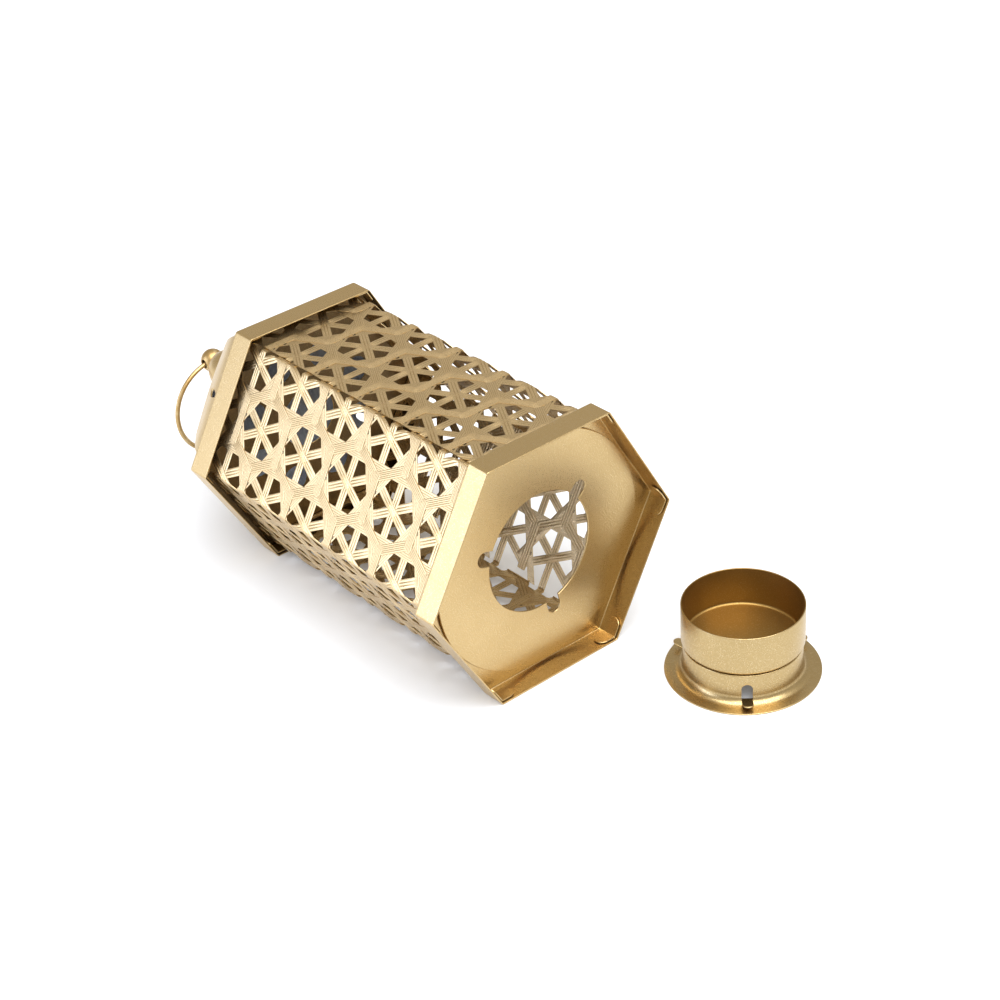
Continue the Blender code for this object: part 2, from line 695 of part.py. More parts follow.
def main():
    clear_scene()
    gold = material("champagne gold sprayed sheet", (0.62, 0.46, 0.24), 0.42, 0.85)
    steel = material("bare steel", (0.55, 0.58, 0.62), 0.35, 1.0)
    toward_base = Matrix(((0, 0, 1, 0), (1, 0, 0, 0), (0, 1, 0, AXIS_HEIGHT), (0, 0, 0, 1)))
    axis = empty("lantern_axis", toward_base)
    base_tray(axis, gold)
    bayonet_disc(axis, gold)
    lattice_panels(axis, gold)
    top_tray(axis, gold)
    corner_straps(axis, gold)
    roof(axis, gold)
    bell_cap(axis, gold)
    finial_ball(axis, gold)
    finial_fasteners(axis, steel)
    hanging_ring(axis, gold)
    stand = empty("cup_stand", Matrix.Translation((CUP_X, CUP_Y, 0)))
    candle_pan(stand, gold)
    bayonet_collar(stand, gold)


main()
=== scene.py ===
"""The looks of a six-sided tea-light lantern lying on one flat, with its candle cup stood beside it.

Every length is in metres, with MM for a millimetre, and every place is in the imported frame: +X runs
along the lantern's axis towards its base and +Z is up. Pieces on the lantern's axis are drawn about
their own +Z and turned onto the axis at the end.
"""

import logging
from dataclasses import dataclass
from enum import Enum
from math import acos, asin, cos, hypot, pi, radians, sin, sqrt, tan
from typing import Iterable, Sequence

import bmesh
import bpy
from mathutils import Matrix, Vector

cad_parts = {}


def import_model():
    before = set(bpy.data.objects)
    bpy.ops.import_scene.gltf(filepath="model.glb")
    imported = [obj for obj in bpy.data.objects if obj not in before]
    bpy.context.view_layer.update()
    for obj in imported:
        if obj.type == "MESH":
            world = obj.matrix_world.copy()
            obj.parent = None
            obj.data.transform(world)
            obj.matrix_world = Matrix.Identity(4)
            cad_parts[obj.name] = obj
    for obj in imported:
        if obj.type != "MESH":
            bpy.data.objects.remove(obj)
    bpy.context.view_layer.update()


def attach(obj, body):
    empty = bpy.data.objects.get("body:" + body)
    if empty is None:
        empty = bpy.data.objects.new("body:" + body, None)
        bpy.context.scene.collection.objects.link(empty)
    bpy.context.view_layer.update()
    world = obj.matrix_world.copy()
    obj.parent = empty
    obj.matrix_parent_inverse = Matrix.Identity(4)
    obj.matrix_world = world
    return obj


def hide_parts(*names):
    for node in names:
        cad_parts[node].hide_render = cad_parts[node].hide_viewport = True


log = logging.getLogger("lantern")

MM = 0.001
SIDES = 6
HALF_TURN = pi / SIDES
TRAY_CORNER = 52.25 * MM
AXIS_HEIGHT = TRAY_CORNER * cos(HALF_TURN)
ALONG_AXIS = Matrix(((0, 0, 1, 0), (1, 0, 0, 0), (0, 1, 0, AXIS_HEIGHT), (0, 0, 0, 1)))
SHARP_ANGLE = radians(38)
SHARPEST_INSET = 0.4
SUPPORT_SHARES = (0.02, 0.35, 0.7, 0.98)
FLAT_ENDS = (0.015, 0.985)
RIM_STEPS = 6
GAP = 0.3 * MM
BODY_CORNER = 48.3 * MM
BODY_LENGTH = 125.4 * MM
BELL_OVERLAP = 9.07 * MM
NECK_LENGTH = 0.5 * MM
BASE_HOLE = 30.0 * MM
TOP_HOLE = 11.5 * MM
VENTS = 8
VENT_RING = 25.0 * MM
VENT_RADIUS = 5.5 * MM
VENT_PHASE = radians(24)

Ring = list[Vector]
Loop = list[tuple[float, float]]
Stations = list[tuple[float, float]]
Turn = tuple[float, float, float]


class Body(Enum):
    """The bodies that move on their own."""

    LANTERN = "lantern"
    RING = "ring"
    CUP = "cup"


class Slot(Enum):
    """The record's material slots."""

    SHEET = "gold_sheet"
    FITTINGS = "gold_fittings"
    STEEL = "bare_steel"


# Node graphs


class Value:
    """A node's output that can be used in arithmetic, each operation adding its Math node."""

    def __init__(self, graph: "Graph", socket: bpy.types.NodeSocket) -> None:
        """Wraps one output socket of a graph."""
        self.graph = graph
        self.socket = socket

    def _maths(self, operation: str, *values: "Value | float") -> "Value":
        """Adds a Math node on the values."""
        return self.graph.node("ShaderNodeMath", {"operation": operation}, dict(enumerate(values)))

    def __add__(self, other: "Value | float") -> "Value":
        """self + other."""
        return self._maths("ADD", self, other)

    __radd__ = __add__

    def __sub__(self, other: "Value | float") -> "Value":
        """self - other."""
        return self._maths("SUBTRACT", self, other)

    def __mul__(self, other: "Value | float") -> "Value":
        """self * other."""
        return self._maths("MULTIPLY", self, other)

    def __truediv__(self, other: "Value | float") -> "Value":
        """self / other."""
        return self._maths("DIVIDE", self, other)

    def __mod__(self, other: float) -> "Value":
        """The remainder of self / other."""
        return self._maths("MODULO", self, other)

    def rounded(self) -> "Value":
        """The nearest whole number."""
        return self._maths("ROUND", self)

    def above(self, edge: float, softness: float) -> "Value":
        """0 below the edge and 1 above it, with a soft step.

        Args:
            edge: The middle of the step.
            softness: The step's whole width.

        Returns:
            The mask.
        """
        settings = {"interpolation_type": "SMOOTHSTEP"}
        inputs = {"Value": self, "From Min": edge - softness / 2, "From Max": edge + softness / 2}
        return self.graph.node("ShaderNodeMapRange", settings, inputs)


class Graph:
    """Adds nodes to a shader or geometry tree."""

    def __init__(self, tree: bpy.types.NodeTree) -> None:
        """Takes the tree that the nodes go into."""
        self.tree = tree

    def node(
        self,
        kind: str,
        settings: dict | None = None,
        inputs: dict | None = None,
        output: str | int = 0,
    ) -> Value:
        """Adds any node.

        Args:
            kind: The node's type.
            settings: Its properties, set before its sockets.
            inputs: Values or links of its sockets, by name or number.
            output: The output socket to hand back.

        Returns:
            The wrapped output.
        """
        made = self.tree.nodes.new(kind)
        for name, value in (settings or {}).items():
            setattr(made, name, value)
        for name, value in (inputs or {}).items():
            socket = made.inputs[name]
            if isinstance(value, Value):
                self.tree.links.new(value.socket, socket)
            else:
                socket.default_value = value
        return Value(self, made.outputs[output]) if len(made.outputs) else Value(self, None)

    def mix(self, share: Value | float, low: Value | tuple, high: Value | tuple) -> Value:
        """Mixes two colours.

        Args:
            share: How much of the second colour.
            low: The first colour.
            high: The second colour.

        Returns:
            The mixed colour.
        """
        return self.node("ShaderNodeMix", {"data_type": "RGBA"}, {0: share, 6: low, 7: high}, 2)

    def noise(self, place: Value, scale: float, detail: float = 2.0, roughness: float = 0.5) -> Value:
        """Noise over a place, as a number about 0.5."""
        inputs = {"Vector": place, "Scale": scale, "Detail": detail, "Roughness": roughness}
        return self.node("ShaderNodeTexNoise", None, inputs, "Fac")

    def stretched(self, place: Value, factors: tuple[float, float, float]) -> Value:
        """A place scaled along each of its axes."""
        return self.node("ShaderNodeVectorMath", {"operation": "MULTIPLY"}, {0: place, 1: factors})

    def bump(self, height: Value, strength: float) -> Value:
        """A normal tilted by a height in millimetres."""
        return self.node("ShaderNodeBump", None, {"Strength": strength, "Distance": MM, "Height": height})

    def surface(self, inputs: dict) -> None:
        """Ends a material in one Principled shader."""
        shader = self.node("ShaderNodeBsdfPrincipled", None, inputs)
        self.node("ShaderNodeOutputMaterial", None, {"Surface": shader})


def new_material(name: str) -> tuple[bpy.types.Material, Graph, Value]:
    """Starts a material on an empty graph.

    Args:
        name: The material's name.

    Returns:
        The material, its graph and the place on the object.
    """
    made = bpy.data.materials.new(name)
    made.use_nodes = True
    made.node_tree.nodes.clear()
    graph = Graph(made.node_tree)
    return made, graph, graph.node("ShaderNodeTexCoord", output="Object")


def rgb(red: float, green: float, blue: float) -> tuple[float, float, float, float]:
    """A linear colour with full alpha."""
    return (red, green, blue, 1.0)


# Finishes


@dataclass(frozen=True)
class SprayedGold:
    """Champagne gold spray on sheet: a satin metallic coat with a fine grain and small flakes.

    The mesh may carry two vertex attributes: groove, how much painted shade a point takes in a pressed line
    or along a strip's edge, with 2 for the near-black painted shade that stands in for a slot, and strip, a
    place along and across a strip for its fine lines.
    """

    name: str = "champagne gold spray"
    colour: tuple = rgb(0.58, 0.42, 0.20)
    deep: tuple = rgb(0.48, 0.33, 0.13)
    # The groove colour is painted shade for pressed lines and strip edges; the near-black one after it is
    # painted shade standing in for slots.
    groove: tuple = rgb(0.26, 0.15, 0.045)
    slit_shade: tuple = rgb(0.030, 0.018, 0.007)
    flake: tuple = rgb(0.80, 0.66, 0.42)
    roughness: float = 0.33
    grain_scale: float = 2300.0
    flake_scale: float = 3100.0
    cloud_scale: float = 90.0
    cloud_share: float = 0.18
    dull_share: float = 0.15
    flake_share: float = 0.35
    groove_shade_share: float = 0.72
    line_share: float = 0.12
    unevenness: float = 0.10
    grain_height: float = 0.035
    bump_strength: float = 0.5
    line_scale: float = 2200.0
    line_stretch: tuple = (0.09, 1.0, 1.0)
    line_height: float = 0.016
    pressed: bool = False

    def build(self) -> bpy.types.Material:
        """Makes the material.

        Returns:
            The material.
        """
        made, graph, place = new_material(self.name)
        cloud = graph.noise(place, self.cloud_scale, 3.0)
        grain = graph.noise(place, self.grain_scale, 2.0, 0.6)
        flake = graph.noise(place, self.flake_scale, 0.0)
        bright = flake.above(0.66, 0.1)
        dull = graph.noise(place, self.grain_scale, 1.0).above(0.42, -0.3)
        tone = cloud.above(0.5, 0.5) * self.cloud_share + dull * self.dull_share
        colour = graph.mix(tone, self.colour, self.deep)
        colour = graph.mix(bright * self.flake_share, colour, self.flake)
        height = grain * self.grain_height
        uneven = self.unevenness
        rough = self.roughness + (cloud - 0.5) * uneven + (grain - 0.5) * uneven - bright * 0.08
        if self.pressed:
            groove = graph.node("ShaderNodeAttribute", {"attribute_name": "groove"}, output="Fac")
            strip = graph.node("ShaderNodeAttribute", {"attribute_name": "strip"}, output="Vector")
            line = graph.noise(graph.stretched(strip, self.line_stretch), self.line_scale, 2.0, 0.6)
            fine = line.above(0.40, -0.16)
            # Painted shade: the groove attribute darkens grooves and strip edges towards the groove colour,
            # over the real fine grain lines, and paints the slots near black.
            colour = graph.mix(fine * self.line_share + groove * self.groove_shade_share, colour, self.groove)
            colour = graph.mix(groove.above(1.5, 0.6), colour, self.slit_shade)
            rough = rough + groove * 0.15
            height = height + line * self.line_height
        bump = graph.bump(height, self.bump_strength)
        graph.surface({"Base Color": colour, "Roughness": rough, "Normal": bump, "Metallic": 1.0})
        return made


@dataclass(frozen=True)
class TurnedGold:
    """Smoother gold on the ball and the ring, worn a little brighter in patches."""

    name: str = "satin gold fittings"
    colour: tuple = rgb(0.50, 0.335, 0.14)
    worn: tuple = rgb(0.60, 0.455, 0.24)
    roughness: float = 0.42
    unevenness: float = 0.2
    patch_scale: float = 260.0
    grain_scale: float = 1800.0
    grain_height: float = 0.02
    bump_strength: float = 0.35

    def build(self) -> bpy.types.Material:
        """Makes the material.

        Returns:
            The material.
        """
        made, graph, place = new_material(self.name)
        patch = graph.noise(place, self.patch_scale, 3.0)
        grain = graph.noise(place, self.grain_scale, 2.0)
        colour = graph.mix(patch.above(0.58, 0.2), self.colour, self.worn)
        bump = graph.bump(grain * self.grain_height, self.bump_strength)
        rough = self.roughness + (patch - 0.5) * self.unevenness
        graph.surface({"Base Color": colour, "Roughness": rough, "Normal": bump, "Metallic": 1.0})
        return made


@dataclass(frozen=True)
class BareSteel:
    """Bare slate-blue steel: faint rolling streaks and darker spots."""

    name: str = "bare steel"
    colour: tuple = rgb(0.74, 0.80, 0.90)
    dark: tuple = rgb(0.50, 0.55, 0.65)
    roughness: float = 0.50
    metallic: float = 0.10
    unevenness: float = 0.2
    streak_share: float = 0.6
    streak_scale: float = 420.0
    streak_stretch: tuple = (1, 6, 1)
    streak_height: float = 0.02
    bump_strength: float = 0.3
    spot_share: float = 0.4
    spot_scale: float = 150.0

    def build(self) -> bpy.types.Material:
        """Makes the material.

        Returns:
            The material.
        """
        made, graph, place = new_material(self.name)
        streak = graph.noise(graph.stretched(place, self.streak_stretch), self.streak_scale, 3.0)
        spot = graph.noise(place, self.spot_scale, 3.0)
        tone = streak.above(0.5, 0.5) * self.streak_share + spot.above(0.6, 0.2) * self.spot_share
        colour = graph.mix(tone, self.colour, self.dark)
        bump = graph.bump(streak * self.streak_height, self.bump_strength)
        rough = self.roughness + (spot - 0.5) * self.unevenness
        graph.surface({"Base Color": colour, "Roughness": rough, "Normal": bump, "Metallic": self.metallic})
        return made


@dataclass(frozen=True)
class PaleFloor:
    """A plain matt white floor with a barely uneven tone."""

    name: str = "pale floor"
    colour: tuple = rgb(0.75, 0.77, 0.80)
    shade: tuple = rgb(0.73, 0.75, 0.78)
    roughness: float = 0.9
    glow: float = 0.12
    scale: float = 3.0

    def build(self) -> bpy.types.Material:
        """Makes the material.

        Returns:
            The material.
        """
        made, graph, place = new_material(self.name)
        colour = graph.mix(graph.noise(place, self.scale), self.colour, self.shade)
        glow = {"Emission Color": rgb(1.0, 1.0, 1.0), "Emission Strength": self.glow}
        graph.surface({"Base Color": colour, "Roughness": self.roughness, **glow})
        return made


@dataclass(frozen=True)
class Finishes:
    """The materials that the pieces share."""

    sheet: bpy.types.Material
    # inner: a darker copy of the gold, painted shade inside the lantern.
    inner: bpy.types.Material
    # deep: a darker copy of the gold, painted shade in the cup's pan.
    deep: bpy.types.Material
    # cup: a darker copy of the gold, painted shade on the cup.
    cup: bpy.types.Material
    # pressed: a lighter copy of the gold, painted light on the lattice.
    pressed: bpy.types.Material
    fittings: bpy.types.Material
    steel: bpy.types.Material


# Outlines and rings


def circle(radius: float, count: int, z: float = 0.0) -> Ring:
    """Points evenly round a circle."""
    turn = 2 * pi / count
    return [Vector((radius * cos(turn * i), radius * sin(turn * i), z)) for i in range(count)]


def arc(centre: Sequence[float], radius: float, start: float, end: float, steps: int) -> Loop:
    """Points along an arc, both ends included.

    Args:
        centre: The arc's middle.
        radius: Its radius.
        start: The angle of its first point.
        end: The angle of its last point.
        steps: How many steps it takes.

    Returns:
        The points.
    """
    turns = (start + (end - start) * i / steps for i in range(steps + 1))
    return [(centre[0] + radius * cos(a), centre[1] + radius * sin(a)) for a in turns]


def turned(profile: Iterable[tuple[float, float]], count: int) -> list[Ring]:
    """Rings for a profile of (radius, height) points turned about +Z."""
    return [circle(radius, count, z) for radius, z in profile]


def soft_hexagon(apothem: float, fillet: float, z: float, fine: int = 5, flats: int = 12) -> Ring:
    """A hexagon with a corner at +X and rounded corners.

    Args:
        apothem: From the middle to each flat.
        fillet: The corners' radius.
        z: The ring's height.
        fine: Steps round each corner.
        flats: Steps along each flat.

    Returns:
        The ring's points.
    """
    reach = (apothem - fillet) / cos(HALF_TURN)
    points: Ring = []
    for side in range(SIDES):
        corner = 2 * HALF_TURN * side
        middle = Vector((reach * cos(corner), reach * sin(corner), z))
        bend = [
            middle + Vector((fillet * cos(a), fillet * sin(a), 0))
            for a in (corner - HALF_TURN + 2 * HALF_TURN * i / fine for i in range(fine + 1))
        ]
        points += bend
        following = corner + 2 * HALF_TURN
        start = Vector((reach * cos(following), reach * sin(following), z))
        onward = start + Vector((fillet * cos(corner + HALF_TURN), fillet * sin(corner + HALF_TURN), 0))
        shares = [FLAT_ENDS[0], *(i / flats for i in range(1, flats)), FLAT_ENDS[1]]
        points += [bend[-1].lerp(onward, share) for share in shares]
    return points


def round_like(ring: Ring, radius: float, z: float) -> Ring:
    """A circle whose points lie in the directions of a ring's points."""
    return [Vector((*(radius * point.xy.normalized()), z)) for point in ring]


def between(first: Ring, second: Ring, share: float) -> Ring:
    """A ring part of the way from one ring to another."""
    return [a.lerp(b, share) for a, b in zip(first, second)]


def slot_outline(width: float, start: float, end: float, angle: float, steps: int) -> Loop:
    """A slot with one round end, along a direction from the origin.

    Args:
        width: The slot's width.
        start: How far out its straight end lies.
        end: How far out the tip of its round end lies.
        angle: Its direction.
        steps: Steps round its end.

    Returns:
        The outline.
    """
    half = width / 2
    tip = arc((end - half, 0), half, -pi / 2, pi / 2, steps)
    points = [(start, -half), *tip, (start, half)]
    return [(x * cos(angle) - y * sin(angle), x * sin(angle) + y * cos(angle)) for x, y in points]


def inset(loop: Loop, amount: float) -> Loop:
    """Moves a counter-clockwise loop inwards along its corners' bisectors.

    Args:
        loop: The loop.
        amount: How far its sides move.

    Returns:
        The smaller loop.
    """
    moved = []
    for i, here in enumerate(loop):
        before, after = Vector(loop[i - 1]), Vector(loop[(i + 1) % len(loop)])
        ahead = (after - Vector(here)).normalized()
        behind = (Vector(here) - before).normalized()
        normal = Vector((-ahead.y - behind.y, ahead.x + behind.x)).normalized()
        lean = max(SHARPEST_INSET, normal.dot(Vector((-ahead.y, ahead.x))))
        moved.append(tuple(Vector(here) + normal * (amount / lean)))
    return moved


# Meshes


def join(bm: bmesh.types.BMesh, rings: list[list[bmesh.types.BMVert]]) -> None:
    """Adds the faces between each ring of vertices and the next.

    Args:
        bm: The bmesh that the vertices are in.
        rings: The rings, each with as many vertices as the next.
    """
    for first, second in zip(rings, rings[1:]):
        for i in range(len(first)):
            j = (i + 1) % len(first)
            bm.faces.new((first[i], first[j], second[j], second[i]))


def skin(bm: bmesh.types.BMesh, rings: list[Ring], closed: bool) -> list[list[bmesh.types.BMVert]]:
    """Joins rings of equally many points, each to the next.

    Args:
        bm: The bmesh that they go into.
        rings: The rings.
        closed: Whether the last ring joins the first.

    Returns:
        Each ring's vertices.
    """
    made = [[bm.verts.new(point) for point in ring] for ring in rings]
    join(bm, made + made[:1] if closed else made)
    return made


def band(rings: list[Ring]) -> bmesh.types.BMesh:
    """A solid whose section is the closed run of rings round an open middle.

    Args:
        rings: The rings, round the section.

    Returns:
        The closed bmesh.
    """
    bm = bmesh.new()
    skin(bm, rings, closed=True)
    return bm


def plug(rings: list[Ring]) -> bmesh.types.BMesh:
    """A solid skinned over rings and closed by a face at each end.

    Args:
        rings: The rings, from end to end.

    Returns:
        The closed bmesh.
    """
    bm = bmesh.new()
    made = skin(bm, rings, closed=False)
    bm.faces.new(made[0])
    bm.faces.new(made[-1])
    return bm


def slab(loops: list[Loop], near: float, far: float, edge: float) -> bmesh.types.BMesh:
    """A flat sheet with holes, its edges broken by a small chamfer.

    Args:
        loops: The outline, counter-clockwise, then the holes, clockwise.
        near: The lower height.
        far: The upper height.
        edge: The chamfer's size.

    Returns:
        The closed mesh.
    """
    bm = bmesh.new()
    caps: dict[float, list[bmesh.types.BMEdge]] = {near: [], far: []}
    for loop in loops:
        narrow = inset(loop, edge)
        levels = [(narrow, near), (loop, near + edge), (loop, far - edge), (narrow, far)]
        rings = [[Vector((x, y, z)) for x, y in points] for points, z in levels]
        made = skin(bm, rings, closed=False)
        for verts, z in ((made[0], near), (made[-1], far)):
            caps[z] += [bm.edges.get((verts[i - 1], verts[i])) for i in range(len(verts))]
    for edges in caps.values():
        bmesh.ops.triangle_fill(bm, edges=edges, use_beauty=True)
    return bm


def smoothed(mesh: bpy.types.Mesh) -> bpy.types.Mesh:
    """Shades a mesh smoothly apart from its sharp edges.

    Args:
        mesh: The mesh.

    Returns:
        The same mesh.
    """
    mesh.polygons.foreach_set("use_smooth", [True] * len(mesh.polygons))
    mesh.set_sharp_from_angle(angle=SHARP_ANGLE)
    return mesh


def mesh_from(name: str, bm: bmesh.types.BMesh, place: Matrix) -> bpy.types.Mesh:
    """Turns a closed bmesh into a smooth mesh with its faces out.

    Args:
        name: The mesh's name.
        bm: The closed bmesh, which is freed.
        place: Where the mesh goes.

    Returns:
        The mesh.
    """
    bmesh.ops.recalc_face_normals(bm, faces=bm.faces)
    mesh = bpy.data.meshes.new(name)
    bm.to_mesh(mesh)
    bm.free()
    mesh.transform(place)
    return smoothed(mesh)


def on_axis(x: float) -> Matrix:
    """The place of a piece drawn about +Z, on the lantern's axis at this X."""
    return ALONG_AXIS @ Matrix.Translation((0, 0, x))


def sliced(
    bm: bmesh.types.BMesh, place: Sequence[float], normal: Sequence[float], outer: bool = False
) -> list:
    """Adds edges where a plane meets a bmesh.

    Args:
        bm: The bmesh.
        place: A point of the plane.
        normal: The plane's normal.
        outer: Whether what lies beyond the plane goes.

    Returns:
        The vertices and edges in the plane.
    """
    everything = [*bm.verts, *bm.edges, *bm.faces]
    cut = bmesh.ops.bisect_plane(bm, geom=everything, plane_co=place, plane_no=normal, clear_outer=outer)
    return cut["geom_cut"]


def shown(name: str, mesh: bpy.types.Mesh, *finishes: bpy.types.Material) -> bpy.types.Object:
    """Puts a mesh into the scene as a piece.

    Args:
        name: The piece's name.
        mesh: Its mesh.
        finishes: Its materials, in the order of its faces' numbers.

    Returns:
        The piece.
    """
    mesh.name = name
    if finishes:
        mesh.materials.clear()
        for finish in finishes:
            mesh.materials.append(finish)
    piece = bpy.data.objects.new(name, mesh)
    bpy.context.scene.collection.objects.link(piece)
    return piece


def fitted(piece: bpy.types.Object, body: Body, slot: Slot, *nodes: str) -> bpy.types.Object:
    """Rides a piece on its body, in the place of the nodes that it stands for.

    Args:
        piece: The finished piece.
        body: The body that it moves with.
        slot: The material slot that it belongs to; not used.
        nodes: The CAD nodes that it replaces.

    Returns:
        The piece.
    """
    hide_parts(*nodes)
    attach(piece, body.value)
    log.info("%s: %d faces, for %s", piece.name, len(piece.data.polygons), ", ".join(nodes))
    return piece


def plain_mesh(piece: bpy.types.Object) -> bpy.types.Object:
    """Turns a piece's modifiers into its own mesh.

    Args:
        piece: The piece.

    Returns:
        The piece.
    """
    graph = bpy.context.evaluated_depsgraph_get()
    mesh = bpy.data.meshes.new_from_object(piece.evaluated_get(graph), depsgraph=graph)
    piece.modifiers.clear()
    piece.data = smoothed(mesh)
    return piece


def cut_by(piece: bpy.types.Object, tools: list[bpy.types.Mesh], operation: str) -> bpy.types.Object:
    """Cuts or joins a piece with closed meshes, one after another.

    Args:
        piece: The piece.
        tools: The closed meshes.
        operation: The Boolean modifier's operation.

    Returns:
        The piece.
    """
    helpers = []
    for tool in tools:
        helper = bpy.data.objects.new("tool", tool)
        bpy.context.scene.collection.objects.link(helper)
        step = piece.modifiers.new("step", "BOOLEAN")
        step.operation = operation
        step.solver = "EXACT"
        step.object = helper
        helpers.append(helper)
    plain_mesh(piece)
    for helper in helpers:
        bpy.data.objects.remove(helper)
    return piece


# Geometry trees


class Tree:
    """A geometry tree with named inputs, which runs on one piece."""

    def __init__(self, name: str, inputs: dict[str, tuple[str, object]]) -> None:
        """Starts the tree.

        Args:
            name: The tree's name.
            inputs: Each input's name with its socket type and value.
        """
        made = bpy.data.node_groups.new(name, "GeometryNodeTree")
        made.interface.new_socket("Geometry", in_out="INPUT", socket_type="NodeSocketGeometry")
        made.interface.new_socket("Geometry", in_out="OUTPUT", socket_type="NodeSocketGeometry")
        self.values = {}
        for label, (kind, value) in inputs.items():
            socket = made.interface.new_socket(label, in_out="INPUT", socket_type=kind)
            self.values[socket.identifier] = value
        self.graph = Graph(made)
        self.entry = self.graph.node("NodeGroupInput")

    def given(self, label: str) -> Value:
        """One of the tree's inputs."""
        return Value(self.graph, self.entry.socket.node.outputs[label])

    def run(self, piece: bpy.types.Object, result: Value) -> bpy.types.Object:
        """Closes the tree and keeps its result as a piece's plain mesh.

        Args:
            piece: The piece that it runs on.
            result: The geometry that it hands back.

        Returns:
            The piece.
        """
        self.graph.node("NodeGroupOutput", None, {0: result})
        step = piece.modifiers.new(self.graph.tree.name, "NODES")
        step.node_group = self.graph.tree
        for identifier, value in self.values.items():
            step[identifier] = value
        return plain_mesh(piece)


def drill_ring(
    piece: bpy.types.Object,
    count: int,
    ring_radius: float,
    hole_radius: float,
    phase: float,
    reach: tuple[float, float],
) -> bpy.types.Object:
    """Drills a ring of round holes along the lantern's axis with a geometry tree.

    Args:
        piece: The piece, already on the lantern's axis.
        count: How many holes.
        ring_radius: The radius that the holes' middles lie on.
        hole_radius: Each hole's radius.
        phase: The first hole's angle.
        reach: The holes' ends along the axis.

    Returns:
        The drilled piece.
    """
    inputs = {
        "Count": ("NodeSocketInt", count),
        "Ring radius": ("NodeSocketFloat", ring_radius),
        "Hole radius": ("NodeSocketFloat", hole_radius),
        "Hole depth": ("NodeSocketFloat", reach[1] - reach[0]),
        "Middle": ("NodeSocketFloat", (reach[0] + reach[1]) / 2),
        "Phase": ("NodeSocketFloat", phase),
        "Axis height": ("NodeSocketFloat", AXIS_HEIGHT),
        "Finish": ("NodeSocketMaterial", piece.data.materials[0]),
    }
    tree = Tree("ring_of_holes", inputs)
    graph, given = tree.graph, tree.given
    sizes = {"Vertices": given("Count"), "Radius": given("Ring radius")}
    ring = graph.node("GeometryNodeMeshCircle", {"fill_type": "NONE"}, sizes)
    sizes = {"Vertices": 40, "Radius": given("Hole radius"), "Depth": given("Hole depth")}
    hole = graph.node("GeometryNodeMeshCylinder", {"fill_type": "NGON"}, sizes)
    set_out = graph.node("GeometryNodeInstanceOnPoints", None, {"Points": ring, "Instance": hole})
    solid = graph.node("GeometryNodeRealizeInstances", None, {0: set_out})
    holes = graph.node("GeometryNodeSetMaterial", None, {"Geometry": solid, "Material": given("Finish")})
    spin = graph.node("ShaderNodeCombineXYZ", None, {"Z": given("Phase")})
    spun = graph.node("GeometryNodeTransform", None, {"Geometry": holes, "Rotation": spin})
    stood = graph.node("GeometryNodeTransform", None, {"Geometry": spun, "Rotation": (pi / 2, 0, pi / 2)})
    middle = graph.node("ShaderNodeCombineXYZ", None, {"X": given("Middle"), "Z": given("Axis height")})
    moved = graph.node("GeometryNodeTransform", None, {"Geometry": stood, "Translation": middle})
    cut = {"Mesh 1": given("Geometry"), "Mesh 2": moved}
    drilled = graph.node("GeometryNodeMeshBoolean", {"operation": "DIFFERENCE", "solver": "EXACT"}, cut)
    done = graph.node("GeometryNodeRealizeInstances", None, {0: drilled})
    return tree.run(piece, done)


# The trays


@dataclass
class Tray:
    """A six-sided pressed dish: skirt and plate in one sheet, folded with a small radius."""

    name: str
    back: float
    hole_radius: float
    finish: bpy.types.Material
    back_finish: bpy.types.Material
    front_finish: bpy.types.Material
    apothem: float = AXIS_HEIGHT
    height: float = 9.6 * MM
    sheet: float = 0.5 * MM
    corner: float = 1.1 * MM
    least_corner: float = 0.2 * MM
    fold: float = 0.85 * MM
    edge: float = 0.12 * MM
    support: float = 0.15 * MM
    fold_steps: int = 5

    def _corner(self, apothem: float) -> float:
        """The corner radius of a ring at this apothem."""
        return max(self.least_corner, self.corner - (self.apothem - apothem))

    def _rings(self) -> list[Ring]:
        """Draws the tray's section.

        Returns:
            Rings from the hole's back edge, round the skirt's free rim, to its front edge.
        """
        steps = self.fold_steps
        fold_middle = self.apothem - self.fold
        outer: Loop = arc((fold_middle, self.fold), self.fold, -pi / 2, 0, steps)
        half = self.sheet / 2
        rim = arc((self.apothem - half, self.height - half), half, 0, pi, RIM_STEPS)
        inner: Loop = arc((fold_middle, self.fold), self.fold - self.sheet, 0, -pi / 2, steps)
        flat = (self.fold + self.support, self.height - half - self.support)
        outer += [(self.apothem, z) for z in flat]
        rim += [(self.apothem - self.sheet, z) for z in reversed(flat)]
        section = [*outer, *rim, *inner]
        skirt = [soft_hexagon(a, self._corner(a), z) for a, z in section]
        hole = self.hole_radius
        rings: list[Ring] = []
        for radius, z in ((hole, self.edge), (hole + self.edge, 0.0)):
            rings.append(round_like(skirt[0], radius, z))
        rings += [between(rings[-1], skirt[0], share) for share in SUPPORT_SHARES]
        rings += skirt
        front = [round_like(skirt[-1], hole + self.edge, self.sheet)]
        front.append(round_like(skirt[-1], hole, self.sheet - self.edge))
        rings += [between(skirt[-1], front[0], share) for share in SUPPORT_SHARES]
        return rings + front

    def build(self) -> bpy.types.Object:
        """Makes the tray on the lantern's axis.

        Returns:
            The piece.
        """
        mesh = mesh_from(self.name, band(self._rings()), on_axis(self.back))
        piece = shown(self.name, mesh, self.finish, self.back_finish, self.front_finish)
        # Back faces take back_finish and plate faces inside the skirt take front_finish; where that is the
        # darker inside finish it is painted shade inside the lantern.
        inner = self.apothem - 0.6 * self.sheet
        for face in mesh.polygons:
            x, y, z = face.center
            side = abs(z - AXIS_HEIGHT)
            reach = max(side, abs(y * cos(HALF_TURN)) + side / 2)
            if face.normal.x < -0.5 and x < self.back + self.sheet / 2:
                face.material_index = 1
            elif x > self.back + self.sheet * 0.9 and reach < inner:
                face.material_index = 2
        return piece


